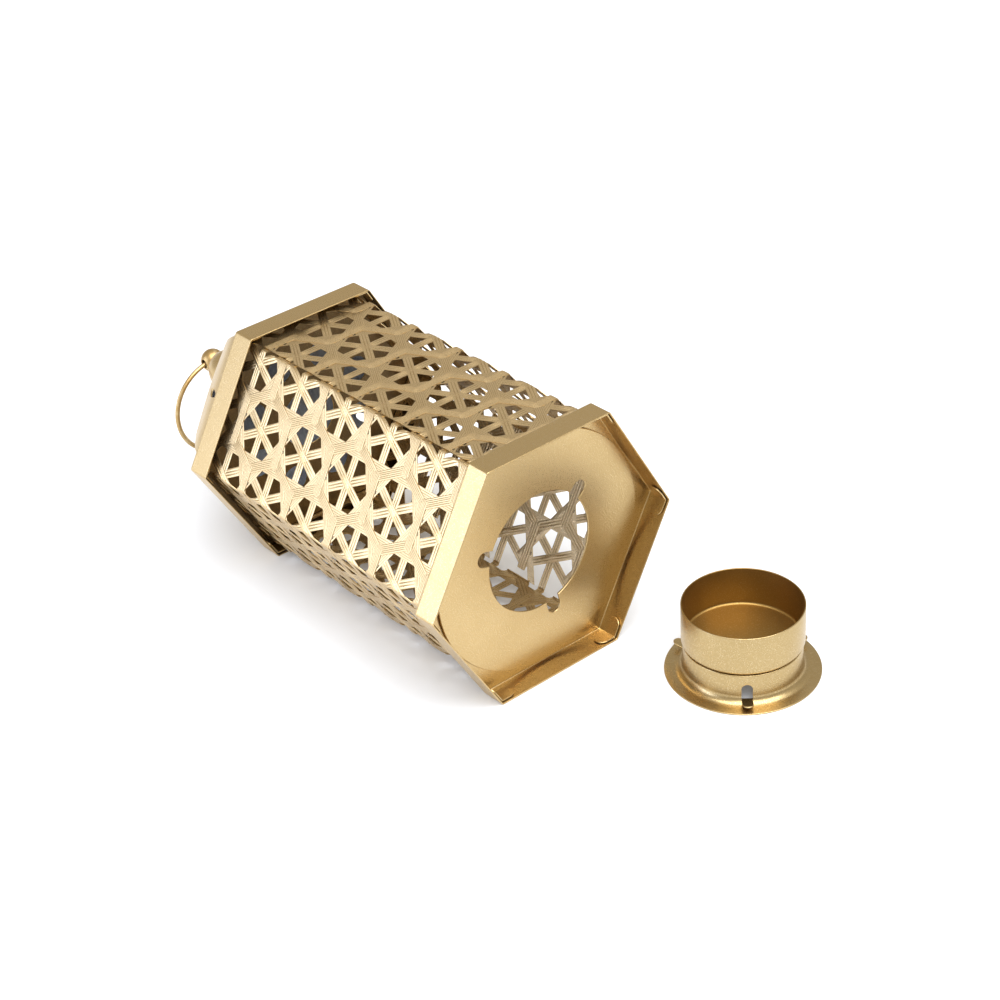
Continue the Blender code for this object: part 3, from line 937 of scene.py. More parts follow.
@dataclass
class CornerStraps:
    """Six short strips, each bent over a corner inside a skirt."""

    tray: str
    rim: float
    finish: bpy.types.Material
    sheet: float = 0.5 * MM
    width: float = 5.5 * MM
    reach: float = 6.5 * MM
    from_rim: float = 0.8 * MM
    outer_apothem: float = AXIS_HEIGHT - 0.5 * MM - 0.3 * MM
    bend: float = 0.7 * MM
    creases: tuple[float, ...] = (-1.0, -0.5, 0.0, 0.5, 1.0)
    edge: float = 0.1 * MM
    end_steps: int = 12

    def _bent(self, point: Vector) -> Vector:
        """Folds a flat point over the corner at +X.

        Args:
            point: Its distances along, across and out of the strip.

        Returns:
            Its place about the axis.
        """
        radius = self.bend
        start = radius * tan(HALF_TURN)
        share = max(-1.0, min(1.0, point.x / start))
        lean = share * HALF_TURN
        middle = (self.outer_apothem - radius) / cos(HALF_TURN)
        reach = radius + point.z
        past = point.x - share * start
        x = middle + reach * cos(lean) - past * sin(lean)
        y = reach * sin(lean) + past * cos(lean)
        return Vector((x, y, point.y))

    def _strip(self) -> bmesh.types.BMesh:
        """Makes one strip about the corner at +X.

        Returns:
            The strip.
        """
        radius = self.width / 2
        tip = arc((self.reach - radius, 0), radius, -pi / 2, pi / 2, self.end_steps)
        outline = [*tip, *[(-x, -y) for x, y in tip]]
        bm = slab([outline], -self.sheet, 0, self.edge)
        start = self.bend * tan(HALF_TURN)
        for share in self.creases:
            sliced(bm, (share * start, 0, 0), (1, 0, 0))
        for vert in bm.verts:
            vert.co = self._bent(vert.co)
        return bm

    def build(self) -> list[bpy.types.Object]:
        """Makes the six strips.

        Returns:
            The pieces.
        """
        middle = on_axis(self.rim - self.from_rim - self.width / 2)
        pieces = []
        for i in range(SIDES):
            place = middle @ Matrix.Rotation(2 * HALF_TURN * i, 4, "Z")
            node = f"{self.tray}_corner_strap_{i + 1}"
            piece = shown(f"{node}_bent", mesh_from(node, self._strip(), place), self.finish)
            pieces.append(fitted(piece, Body.LANTERN, Slot.SHEET, node))
        return pieces


@dataclass
class BayonetDisc:
    """The round disc in the base tray, with the socket and its three notches."""

    finish: bpy.types.Material
    back: float
    radius: float = 43.5 * MM
    sheet: float = 0.8 * MM
    socket: float = 21.8 * MM
    notch_width: float = 5.5 * MM
    notch_reach: float = 27.4 * MM
    notch_phase: float = radians(42)
    notches: int = 3
    edge: float = 0.15 * MM
    steps: int = 144
    notch_steps: int = 16
    run_steps: int = 36

    def _socket_outline(self) -> Loop:
        """Draws the socket's edge.

        Returns:
            The edge, clockwise.
        """
        half_angle = asin(self.notch_width / 2 / self.socket)
        mouth = self.socket * cos(half_angle)
        pitch = 2 * pi / self.notches
        points: Loop = []
        for i in range(self.notches):
            angle = self.notch_phase + pitch * i
            points += slot_outline(self.notch_width, mouth, self.notch_reach, angle, self.notch_steps)
            ends = (angle + half_angle, angle + pitch - half_angle)
            points += arc((0, 0), self.socket, *ends, self.run_steps)[1:-1]
        return points[::-1]

    def build(self) -> bpy.types.Object:
        """Makes the disc.

        Returns:
            The piece.
        """
        rim = [(point.x, point.y) for point in circle(self.radius, self.steps)]
        bm = slab([rim, self._socket_outline()], 0, self.sheet, self.edge)
        piece = shown("bayonet_plate", mesh_from("bayonet_plate", bm, on_axis(self.back)), self.finish)
        return fitted(piece, Body.LANTERN, Slot.SHEET, "bayonet_disc")


# The openwork body


@dataclass(frozen=True)
class StripProfile:
    """The ribbed section of a pressed strip: its grooves above and below, its crown and its dropped edges."""

    width: float
    edge_drop: float
    # edge_shade is painted shade along the strip's edges, carried with the groove shade in the groove
    # attribute.
    edge_shade: float
    grooves: tuple[float, ...] = ()
    under_grooves: tuple[float, ...] = ()
    groove_width: float = 0.30 * MM
    groove_depth: float = 0.0
    crown: float = 0.0
    edge_line: float = 0.10 * MM
    edge_soft: float = 0.30 * MM

    def points(self, grooves: Sequence[float]) -> list[tuple[float, float, float]]:
        """One side of the section.

        Args:
            grooves: Where its grooves run, across the strip.

        Returns:
            (across, height, groove shade) from edge to edge.
        """
        half = self.width / 2
        rows = [(-half, -self.edge_drop, self.edge_shade)]
        rows.append((-half + self.edge_line, -0.45 * self.edge_drop, self.edge_shade))
        rows.append((-half + self.edge_soft, -0.06 * self.edge_drop, 0.0))
        sides = [(-across, height, shade) for across, height, shade in reversed(rows)]
        for middle in grooves:
            lip = self.groove_width / 2
            for across, depth, shade in ((-lip, 0.0, 0.0), (0.0, self.groove_depth, 1.0), (lip, 0.0, 0.0)):
                rows.append((middle + across, self._crown(middle + across) - depth, shade))
        return rows + sides

    def section(self) -> list[tuple[float, float, float, int]]:
        """Draws the section of both sides, the edges below plainer.

        Returns:
            Points as (across, height, groove shade, 1 above or -1 below).
        """
        lower = self.points(self.under_grooves)
        lower = reversed([lower[0], *lower[2:-2], lower[-1]])
        return [*((*row, 1) for row in self.points(self.grooves)), *((*row, -1) for row in lower)]

    def _crown(self, across: float) -> float:
        """The slight crown over the strip's width."""
        return self.crown * (1 - (2 * across / self.width) ** 2)


class StripKind(Enum):
    """The kinds of strip that the cane pattern is pressed from, and the raised bar painted near black as
    shade that stands in for a slot beside the arms.
    """

    CANE = StripProfile(
        width=3.2 * MM,
        edge_drop=0.20 * MM,
        edge_shade=0.25,
        grooves=(-0.52 * MM, 0.52 * MM),
        under_grooves=(-0.52 * MM, 0.52 * MM),
        groove_width=0.44 * MM,
        groove_depth=0.26 * MM,
        crown=0.05 * MM,
    )
    ARM = StripProfile(
        width=3.5 * MM,
        edge_drop=0.10 * MM,
        edge_shade=0.6,
        grooves=(-0.95 * MM, -0.30 * MM, 0.38 * MM, 1.0 * MM),
        under_grooves=(-0.55 * MM, 0.55 * MM),
        groove_depth=0.08 * MM,
        crown=0.03 * MM,
    )
    BAND = StripProfile(
        width=3.0 * MM,
        edge_drop=0.14 * MM,
        edge_shade=0.35,
        grooves=(-0.72 * MM, 0.08 * MM, 0.78 * MM),
        groove_depth=0.07 * MM,
        crown=0.04 * MM,
    )
    # A raised bar whose edge shade of 2 paints it near black: painted shade for a slot.
    SLIT = StripProfile(width=0.42 * MM, edge_drop=0.02 * MM, edge_shade=2.0)


def both_ways(side: Stations) -> Stations:
    """A strip's stations on both sides of its middle, from those on one side."""
    return [(-along, height) for along, height in reversed(side)] + side


@dataclass
class CaneCell:
    """One cell of the cane-seat pattern: canes crossing in its middle, bands between cells, and arms.

    Heights are those of a strip's top over the sheet. A strip's first sizes are distances along it.
    """

    pitch: float = 24.4 * MM
    middle: float = -0.15 * MM
    thinnest: float = 0.16 * MM
    slit_side: float = 1.98 * MM
    slit_along: float = 2.4 * MM
    slit_angle: float = radians(84)

    @property
    def row_pitch(self) -> float:
        """From one row of cells to the next."""
        return self.pitch * cos(HALF_TURN)

    @property
    def star_reach(self) -> float:
        """From a cell's middle to a star, where three cells meet."""
        return self.pitch / 2 / cos(HALF_TURN)

    def _strip(
        self,
        bm: bmesh.types.BMesh,
        kind: StripKind,
        middle: tuple[float, float],
        direction: float,
        stations: Stations,
        seed: float,
    ) -> None:
        """Adds one closed strip, its underside like its top but with plainer edges.

        Args:
            bm: The mesh.
            kind: The strip's profile.
            middle: Where its own length is zero.
            direction: Its angle in the sheet.
            stations: (distance along, height of its top) pairs.
            seed: Moves its fine lines on, so that strips differ.
        """
        groove = bm.verts.layers.float["groove"]
        strip = bm.verts.layers.float_vector["strip"]
        ahead = Vector((cos(direction), sin(direction)))
        across = Vector((-ahead.y, ahead.x))
        rings = []
        for along, height in stations:
            ring = []
            for side, lift, shade, facing in kind.value.section():
                flat = Vector(middle) + ahead * along + across * side
                rise = max(height + lift - self.middle, self.thinnest / 2)
                vert = bm.verts.new((flat.x, flat.y, self.middle + facing * rise))
                # The groove attribute carries painted shade for grooves, strip edges and slots.
                vert[groove] = shade
                vert[strip] = (along, side, seed)
                ring.append(vert)
            rings.append(ring)
        join(bm, rings)
        bm.faces.new(rings[0][::-1])
        bm.faces.new(rings[-1])

    def _canes(self, bm: bmesh.types.BMesh) -> None:
        """Adds the three canes, one over the other where they cross.

        Args:
            bm: The cell's bmesh.
        """
        for seed, (angle, crossing) in enumerate(((30, 0.13 * MM), (90, 0.0), (150, -0.05 * MM))):
            side = [(1.4 * MM, crossing), (2.9 * MM, 0.05 * MM), (7.4 * MM, 0.02 * MM)]
            side += [(9.2 * MM, -0.12 * MM), (self.star_reach, -0.18 * MM)]
            self._strip(bm, StripKind.CANE, (0, 0), radians(angle), both_ways(side), seed)

    def _bands(self, bm: bmesh.types.BMesh) -> None:
        """Adds the bands midway between rows of cells, each dipping where another crosses it.

        Args:
            bm: The cell's bmesh.
        """
        quarter = self.pitch / 4
        half_row = self.row_pitch / 2
        dip = ((-1.9 * MM, -0.05 * MM), (0.0, -0.14 * MM), (1.9 * MM, -0.05 * MM))
        levels = [(-2 * quarter, 0.02 * MM), *((-quarter + past, low) for past, low in dip), (0.0, 0.03 * MM)]
        levels += [*((quarter + past, low) for past, low in dip), (2 * quarter, 0.02 * MM)]
        for seed, (angle, offset) in enumerate(((0, 0.0), (60, 0.05 * MM), (120, -0.05 * MM)), 3):
            turn = radians(angle)
            middle = (-half_row * sin(turn), half_row * cos(turn))
            stations = [(along, height + offset) for along, height in levels]
            self._strip(bm, StripKind.BAND, middle, turn, stations, seed)

    def _arms(self, bm: bmesh.types.BMesh) -> None:
        """Adds the arms on the cell's edges, whose ends lie over one another at the stars.

        Args:
            bm: The cell's bmesh.
        """
        half = self.star_reach / 2
        arms = ((0, 90, 0.24 * MM, 2.2 * MM), (60, 150, 0.12 * MM, 1.5 * MM), (120, 30, 0.0, 1.2 * MM))
        for seed, (towards, angle, level, past) in enumerate(arms, 6):
            middle = (self.pitch / 2 * cos(radians(towards)), self.pitch / 2 * sin(radians(towards)))
            side = [(1.6 * MM, 0.20 * MM), (half - 2.4 * MM, 0.18 * MM), (half - 0.6 * MM, level)]
            side += [(half + 0.6 * past, level - 0.02 * MM), (half + past, level - 0.16 * MM)]
            self._strip(bm, StripKind.ARM, middle, radians(angle), both_ways(side), seed)

    def _slits(self, bm: bmesh.types.BMesh) -> None:
        """Adds the two dark bars beside the arm on the cell's near side, painted near black as shade that
        stands in for slots.

        Args:
            bm: The cell's bmesh.
        """
        stations = both_ways([(0.35 * MM, 0.15 * MM), (0.60 * MM, 0.06 * MM)])
        for along in (-self.slit_along, self.slit_along):
            place = (self.pitch / 2 + self.slit_side, along)
            self._strip(bm, StripKind.SLIT, place, self.slit_angle, stations, 9)

    def mesh(self) -> bpy.types.Mesh:
        """The cell's strips, drawn in the sheet's plane with the height out of it.

        Returns:
            The mesh, with its groove and strip attributes.
        """
        bm = bmesh.new()
        bm.verts.layers.float.new("groove")
        bm.verts.layers.float_vector.new("strip")
        for add in (self._canes, self._bands, self._arms, self._slits):
            add(bm)
        mesh = bpy.data.meshes.new("cane_cell")
        bmesh.ops.recalc_face_normals(bm, faces=bm.faces)
        bm.to_mesh(mesh)
        bm.free()
        return mesh


@dataclass
class LatticeSheet:
    """Three faces of the body in one pressed sheet, folded at the creases between them.

    The sheet is laid out flat as (along the axis, round the body, height), tiled with cells, trimmed,
    and then folded round the body.
    """

    name: str
    nodes: tuple[str, ...]
    middle_face: float
    first_row: float
    first_column: float
    near: float
    far: float
    start: float
    end: float
    under: float
    finish: bpy.types.Material
    cell: CaneCell
    corner_radius: float = BODY_CORNER
    crease: float = 1.0 * MM
    lap_start: float = 0.2 * MM
    lap_run: float = 1.1 * MM
    border: float = 1.2 * MM
    border_top: float = -0.05 * MM
    border_edge: float = 0.08 * MM
    sheet: float = 0.4 * MM
    columns: int = 8
    rows: int = 9

    def _tiled(self) -> bpy.types.Object:
        """Lays the cells out over the flat sheet with a geometry tree.

        Returns:
            The piece, still flat and untrimmed.
        """
        cell = shown("cane_cell", self.cell.mesh())
        row_pitch = self.cell.row_pitch
        inputs = {
            "Cell": ("NodeSocketObject", cell),
            "Columns": ("NodeSocketInt", self.columns),
            "Rows": ("NodeSocketInt", self.rows),
            "Pitch": ("NodeSocketFloat", self.cell.pitch),
            "Row pitch": ("NodeSocketFloat", row_pitch),
            "First column": ("NodeSocketFloat", self.first_column),
            "First row": ("NodeSocketFloat", self.first_row),
            "Finish": ("NodeSocketMaterial", self.finish),
        }
        tree = Tree("cane_cells", inputs)
        graph, given = tree.graph, tree.given
        wide = (given("Columns") - 1) * given("Pitch")
        tall = (given("Rows") - 1) * given("Row pitch")
        sizes = {"Size X": wide, "Size Y": tall, "Vertices X": given("Columns"), "Vertices Y": given("Rows")}
        grid = graph.node("GeometryNodeMeshGrid", None, sizes)
        place = graph.node("GeometryNodeInputPosition")
        height = graph.node("ShaderNodeSeparateXYZ", None, {0: place}, "Y")
        row = ((height + tall / 2) / given("Row pitch")).rounded()
        shift = (row % 2) * given("Pitch") / 2
        moved = {"X": given("First column") + wide / 2 + shift, "Y": given("First row") + tall / 2}
        offset = graph.node("ShaderNodeCombineXYZ", None, moved)
        points = graph.node("GeometryNodeSetPosition", None, {"Geometry": grid, "Offset": offset})
        source = graph.node("GeometryNodeObjectInfo", None, {"Object": given("Cell")}, "Geometry")
        set_out = graph.node("GeometryNodeInstanceOnPoints", None, {"Points": points, "Instance": source})
        real = graph.node("GeometryNodeRealizeInstances", None, {0: set_out})
        done = graph.node("GeometryNodeSetMaterial", None, {"Geometry": real, "Material": given("Finish")})
        piece = tree.run(shown(self.name, bpy.data.meshes.new(self.name)), done)
        bpy.data.objects.remove(cell)
        return piece

    def _trim(self, bm: bmesh.types.BMesh) -> None:
        """Cuts the tiled cells to the sheet's rectangle and closes the cut ends.

        Args:
            bm: The flat cells.
        """
        cuts = (
            ((self.near, 0, 0), (1, 0, 0)),
            ((self.far, 0, 0), (-1, 0, 0)),
            ((0, self.end, 0), (0, 1, 0)),
            ((0, self.start, 0), (0, -1, 0)),
        )
        for place, outwards in cuts:
            cut = sliced(bm, place, outwards, outer=True)
            edges = [item for item in cut if isinstance(item, bmesh.types.BMEdge)]
            bmesh.ops.edgeloop_fill(bm, edges=[edge for edge in edges if edge.is_boundary])

    def _borders(self, bm: bmesh.types.BMesh) -> None:
        """Adds the low flat strips along the sheet's ends.

        Args:
            bm: The flat sheet.
        """
        for low, high in ((self.far, self.far + self.border), (self.near - self.border, self.near)):
            outline = [(low, self.start), (high, self.start), (high, self.end), (low, self.end)]
            flat = slab([outline], self.border_top - self.sheet, self.border_top, self.border_edge)
            mesh = bpy.data.meshes.new("border")
            flat.to_mesh(mesh)
            flat.free()
            bm.from_mesh(mesh)
            bpy.data.meshes.remove(mesh)

    def _creased(self, bm: bmesh.types.BMesh) -> None:
        """Adds edges where the sheet will be folded, more of them on the creases inside it.

        Args:
            bm: The flat sheet.
        """
        width = self.corner_radius
        start = self.crease * tan(HALF_TURN)
        fine, coarse = (-1.0, -0.5, 0.0, 0.5, 1.0), (-1.0, 0.0, 1.0)
        for fold, shares in ((-1.5, coarse), (-0.5, fine), (0.5, fine), (1.5, coarse)):
            for share in shares:
                sliced(bm, (0, fold * width + share * start, 0), (0, 1, 0))

    def _folded(self, point: Vector) -> Vector:
        """Folds a flat point round the body.

        Args:
            point: Its place along the axis, round the body and out of the sheet.

        Returns:
            Its place about the axis.
        """
        width = self.corner_radius
        outer = width * cos(HALF_TURN)
        face = max(-2, min(2, round(point.y / width)))
        past = point.y - face * width
        straight = width / 2 - self.crease * tan(HALF_TURN)
        over = abs(point.y) - 1.5 * width - self.lap_start
        height = point.z - self.under * max(0.0, min(1.0, over / self.lap_run))
        normal = self.middle_face + face * 2 * HALF_TURN
        if abs(past) <= straight:
            reach = outer + height
            return Vector(
                (reach * cos(normal) - past * sin(normal), reach * sin(normal) + past * cos(normal), point.x)
            )
        turn = HALF_TURN if past > 0 else -HALF_TURN
        corner = normal + turn
        facing = normal + (abs(past) - straight) / (width / 2 - straight) * turn
        middle = (outer - self.crease) / cos(HALF_TURN)
        reach = self.crease + height
        x = middle * cos(corner) + reach * cos(facing)
        y = middle * sin(corner) + reach * sin(facing)
        return Vector((x, y, point.x))

    def build(self) -> bpy.types.Object:
        """Makes the sheet.

        Returns:
            The piece.
        """
        piece = self._tiled()
        bm = bmesh.new()
        bm.from_mesh(piece.data)
        for step in (self._trim, self._borders, self._creased):
            step(bm)
        for vert in bm.verts:
            vert.co = self._folded(vert.co)
        piece.data = mesh_from(self.name, bm, ALONG_AXIS)
        piece.data.materials.append(self.finish)
        return fitted(piece, Body.LANTERN, Slot.SHEET, *self.nodes)


# The roof and its finial


@dataclass
class Roof:
    """The pressed dome: six-sided at its foot, round above, sprayed outside and bare inside.

    Its turns are pairs of a radius, to the corners where it is six-sided, and a height behind the foot. In
    its profile each has a third number, the roundness: 0 where it is six-sided and 1 where it is round.
    """

    outside: bpy.types.Material
    inside: bpy.types.Material
    foot: float
    sheet: float = 0.6 * MM
    bore: float = 1.8 * MM
    height: float = 54.6 * MM
    foot_radius: float = 46.8 * MM
    knee: tuple[float, float] = (43.5 * MM, 10.0 * MM)
    shoulder: tuple[float, float] = (36.2 * MM, 19.6 * MM)
    eave: tuple[float, float] = (24.0 * MM, 27.0 * MM)
    neck: tuple[float, float] = (10.0 * MM, 42.0 * MM)
    spire: tuple[float, float] = (8.9 * MM, 44.0 * MM)
    bell_seat: tuple[float, float] = (8.2 * MM, 45.53 * MM)
    top_radius: float = 5.2 * MM
    hollow: float = 1.5 * MM
    neck_steps: int = 4
    blend: float = 0.28
    segments: int = 144
    vents: int = 6
    vent_radius: float = 1.6 * MM
    vent_ring: float = 36.97 * MM
    vent_start: float = 3.5 * MM
    fine: int = 5
    corner_share: float = 0.12
    corner_trim: float = 0.006
    bare_lean: float = 0.35
    bare_least: float = 0.25

    def _corners(self) -> list[Turn]:
        """Lists the dome's main turns: six-sided up to the shoulder, then a hollow round neck.

        Returns:
            The turns, from foot to top.
        """
        rows = [(self.foot_radius, 0.0, 0.0), (*self.knee, 0.0), (*self.shoulder, 0.1)]
        for i in range(self.neck_steps + 1):
            share = i / self.neck_steps
            radius, height = (low + (high - low) * share for low, high in zip(self.eave, self.neck))
            rows.append((radius - self.hollow * sin(pi * share), height, 1.0))
        return [*rows, (*self.spire, 1.0), (*self.bell_seat, 1.0), (self.top_radius, self.height, 1.0)]

    def _profile(self) -> list[Turn]:
        """The dome's outer side with its turns rounded off.

        Returns:
            The turns and the points that round them.
        """
        rows = self._corners()
        smooth = [rows[0]]
        for before, here, after in zip(rows, rows[1:], rows[2:]):
            for i in range(self.fine + 1):
                share = i / self.fine
                first = [b + (h - b) * (1 - self.blend + self.blend * share) for b, h in zip(before, here)]
                second = [h + (a - h) * self.blend * share for h, a in zip(here, after)]
                smooth.append(tuple(f + (s - f) * share for f, s in zip(first, second)))
        smooth.append(rows[-1])
        return smooth

    def _ring(self, radius: float, height: float, roundness: float) -> Ring:
        """A ring between a soft hexagon and the circle through its corners.

        Args:
            radius: From the axis to the hexagon's corners.
            height: How far behind the foot it lies.
            roundness: 0 for the hexagon, 1 for the circle.

        Returns:
            The ring.
        """
        points = []
        for i in range(self.segments):
            angle = 2 * pi * i / self.segments
            off = (angle % (2 * HALF_TURN)) - HALF_TURN
            flat = cos(HALF_TURN) / cos(off)
            near_corner = max(0.0, 1 - (HALF_TURN - abs(off)) / (HALF_TURN * self.corner_share))
            flat -= self.corner_trim * near_corner * near_corner
            reach = radius * (roundness + (1 - roundness) * flat)
            points.append(Vector((reach * cos(angle), reach * sin(angle), -height)))
        return points

    def _inside(self, outside: list[Turn]) -> list[Turn]:
        """The dome's inner side, one sheet in from its outer side.

        Args:
            outside: The outer side.

        Returns:
            The inner side, from foot to top.
        """
        inside = []
        for i, (radius, height, roundness) in enumerate(outside):
            before = outside[max(i - 1, 0)]
            after = outside[min(i + 1, len(outside) - 1)]
            run = hypot(after[0] - before[0], after[1] - before[1])
            drop = self.sheet * (before[0] - after[0]) / run
            draw = self.sheet * (after[1] - before[1]) / run
            inside.append((radius - draw, max(height - drop, 0.0), roundness))
        inside[-1] = (outside[-1][0], self.height - self.sheet, 1.0)
        return inside

    def build(self) -> bpy.types.Object:
        """Makes the dome with its vents.

        Returns:
            The piece.
        """
        outside = self._profile()
        bore = [(self.bore, self.height, 1.0), (self.bore, self.height - self.sheet, 1.0)]
        rings = [self._ring(*row) for row in [*outside, *bore, *reversed(self._inside(outside))]]
        piece = shown("dome", mesh_from("dome", band(rings), on_axis(self.foot)), self.outside)
        reach = (self.foot - self.eave[1], self.foot - self.vent_start)
        drill_ring(piece, self.vents, self.vent_ring, self.vent_radius, HALF_TURN, reach)
        self._bare_inside(piece)
        return fitted(piece, Body.LANTERN, Slot.SHEET, "roof")

    def _bare_inside(self, piece: bpy.types.Object) -> None:
        """Gives the faces that look into the dome the bare finish.

        Args:
            piece: The dome.
        """
        piece.data.materials.append(self.inside)
        axis = Vector((0, 0, AXIS_HEIGHT))
        for face in piece.data.polygons:
            out = face.center - axis
            facing = Vector((-self.bare_lean, 0, 0)) + Vector((0, out.y, out.z)).normalized()
            if face.normal.dot(facing) < -self.bare_least and face.area > 0:
                face.material_index = 1


@dataclass
class Finial:
    """The bell, the ball on its threaded stud, and the washer and nut inside the dome."""

    sheet_finish: bpy.types.Material
    fittings: bpy.types.Material
    steel: bpy.types.Material
    bell_top: float
    ball_seat: float
    ball_centre: float
    washer_near: float
    bell_radius: float = 9.0 * MM
    bell_height: float = 11.0 * MM
    bell_sheet: float = 0.5 * MM
    seat_width: float = 1.6 * MM
    ball_radius: float = 4.6 * MM
    neck_radius: float = 3.0 * MM
    eye_radius: float = 1.7 * MM
    stud_radius: float = 1.5 * MM
    bore: float = 1.8 * MM
    washer_radius: float = 4.0 * MM
    washer_sheet: float = 0.6 * MM
    nut_flats: float = 5.5 * MM
    nut_height: float = 2.4 * MM
    tail: float = 1.2 * MM
    tail_taper: float = 0.3 * MM
    thread_lead: float = 1.0 * MM
    thread_pitch: float = 0.5 * MM
    thread_depth: float = 0.22 * MM
    eye_flare: float = 0.35 * MM
    eye_lip: float = 0.3 * MM
    edge: float = 0.1 * MM
    nut_edge: float = 0.35 * MM
    nut_corner: float = 0.15 * MM
    nut_trim: float = 0.05 * MM
    nut_mouth: float = 0.3 * MM
    nut_most: float = 1.04
    segments: int = 72
    bell_steps: int = 14
    ball_steps: int = 28

    def bell(self) -> bpy.types.Object:
        """Makes the bell over the dome's top.

        Returns:
            The piece.
        """
        crown = self.neck_radius + self.seat_width
        sides = []
        for sheet in (0.0, self.bell_sheet):
            radius = self.bell_radius - sheet
            depth = self.bell_height - sheet
            last = acos((crown - sheet) / radius)
            turns = [last * i / self.bell_steps for i in range(self.bell_steps + 1)]
            sides.append([(radius * cos(a), self.bell_height - depth * sin(a) / sin(last)) for a in turns])
        outside, inside = sides
        half = self.bell_sheet / 2
        low = self.bell_height - half
        lip = arc((self.bell_radius - half, low), half, pi, 0, RIM_STEPS)[1:-1]
        profile = [(self.bell_radius, low), *outside[1:], (self.bore, 0.0), (self.bore, self.bell_sheet)]
        profile += [*reversed(inside[1:]), (self.bell_radius - self.bell_sheet, low), *lip]
        mesh = mesh_from("bell", band(turned(profile, self.segments)), on_axis(self.bell_top))
        return fitted(shown("bell", mesh, self.sheet_finish), Body.LANTERN, Slot.SHEET, "bell_cap")

    def ball(self) -> bpy.types.Object:
        """Makes the ball with its neck, its threaded stud and the cross hole for the ring.

        Returns:
            The piece.
        """
        neck_angle = acos(self.neck_radius / self.ball_radius)
        seat = self.ball_seat - self.ball_centre
        washer_end = self.washer_near + self.washer_sheet
        stud_end = washer_end + GAP + self.nut_height + self.tail - self.ball_centre
        edge = self.edge
        points = arc((0, 0), self.ball_radius, radians(2) - pi / 2, neck_angle, self.ball_steps)
        points += [(self.neck_radius, seat - edge), (self.neck_radius - edge, seat), (self.stud_radius, seat)]
        thread_start = self.washer_near - self.ball_centre - self.thread_lead
        turns = int((stud_end - thread_start) / self.thread_pitch)
        for i in range(turns):
            z = thread_start + i * self.thread_pitch
            groove = (self.stud_radius - self.thread_depth, z + self.thread_pitch / 2)
            points += [(self.stud_radius, z), groove]
        points.append((self.stud_radius - self.tail_taper, stud_end))
        mesh = mesh_from("ball", plug(turned(points, self.segments)), on_axis(self.ball_centre))
        piece = shown("ball", mesh, self.fittings)
        flare = self.eye_radius + self.eye_flare
        far = 1.5 * self.ball_radius
        mouth = sqrt(self.ball_radius**2 - self.eye_radius**2)
        eye = [(flare + far - mouth, -far), (self.eye_radius, -mouth + self.eye_lip)]
        eye += [(self.eye_radius, mouth - self.eye_lip), (flare + far - mouth, far)]
        across = Matrix.Translation((self.ball_centre, 0, AXIS_HEIGHT)) @ Matrix.Rotation(pi / 2, 4, "X")
        cut_by(piece, [mesh_from("eye", plug(turned(eye, 40)), across)], "DIFFERENCE")
        return fitted(piece, Body.LANTERN, Slot.FITTINGS, "finial_ball")

    def washer(self) -> bpy.types.Object:
        """Makes the washer inside the dome.

        Returns:
            The piece.
        """
        edge, bore = self.edge, self.bore
        radius, high = self.washer_radius, self.washer_sheet
        section = [(radius - edge, 0), (radius, edge), (radius, high - edge), (radius - edge, high)]
        section += [(bore + edge, high), (bore, high - edge), (bore, edge), (bore + edge, 0)]
        mesh = mesh_from("washer", band(turned(section, self.segments)), on_axis(self.washer_near))
        return fitted(shown("washer", mesh, self.steel), Body.LANTERN, Slot.STEEL, "finial_washer")

    def nut(self) -> bpy.types.Object:
        """Makes the nut, its corners rounded off by a chamfer at each end.

        Returns:
            The piece.
        """
        apothem, high, edge = self.nut_flats / 2, self.nut_height, self.nut_edge
        full = soft_hexagon(apothem, self.nut_corner, 0, 3, 8)
        trim, most = self.nut_trim, self.nut_most
        trimmed = round_like(full, apothem - trim, 0)
        inner = round_like(full, apothem, 0)
        eased = [a if a.length < apothem * most else b * most for a, b in zip(full, inner)]

        def lifted(ring: Ring, z: float) -> Ring:
            """The ring at another height."""
            return [Vector((point.x, point.y, z)) for point in ring]

        bore = round_like(full, self.stud_radius + trim, 0)
        mouth = round_like(full, self.stud_radius + self.nut_mouth, 0)
        rings = [lifted(trimmed, 0), lifted(eased, trim), lifted(full, edge), lifted(full, high - edge)]
        rings += [lifted(eased, high - trim), lifted(trimmed, high), lifted(mouth, high)]
        rings += [lifted(bore, high - edge), lifted(bore, edge), lifted(mouth, 0)]
        near = self.washer_near + self.washer_sheet + GAP
        mesh = mesh_from("nut", band(rings), on_axis(near))
        return fitted(shown("nut", mesh, self.steel), Body.LANTERN, Slot.STEEL, "finial_nut")

    def build(self) -> None:
        """Makes the four pieces."""
        for make in (self.bell, self.ball, self.washer, self.nut):
            make()


@dataclass
class HangingRing:
    """The wire ring through the ball, hanging at rest, its two ends butted inside the ball's hole."""

    finish: bpy.types.Material
    centre: float
    radius: float = 19.07 * MM
    wire: float = 0.9 * MM
    end_share: float = 0.86
    steps: int = 160
    around: int = 20
    seam: float = radians(0.5)

    def build(self) -> bpy.types.Object:
        """Makes the ring.

        Returns:
            The piece.
        """
        rings = []
        for i in range(self.steps + 1):
            angle = self.seam + (2 * pi - 2 * self.seam) * i / self.steps
            wire = self.wire * (self.end_share if i in (0, self.steps) else 1.0)
            section = []
            for j in range(self.around):
                turn = 2 * pi * j / self.around
                reach = self.radius + wire * cos(turn)
                drop = reach * cos(angle) - self.radius
                section.append(Vector((reach * sin(angle), drop, wire * sin(turn))))
            rings.append(section)
        mesh = mesh_from("wire_ring", plug(rings), on_axis(self.centre))
        piece = shown("wire_ring", mesh, self.finish)
        return fitted(piece, Body.RING, Slot.FITTINGS, "hanging_ring")


# The candle cup


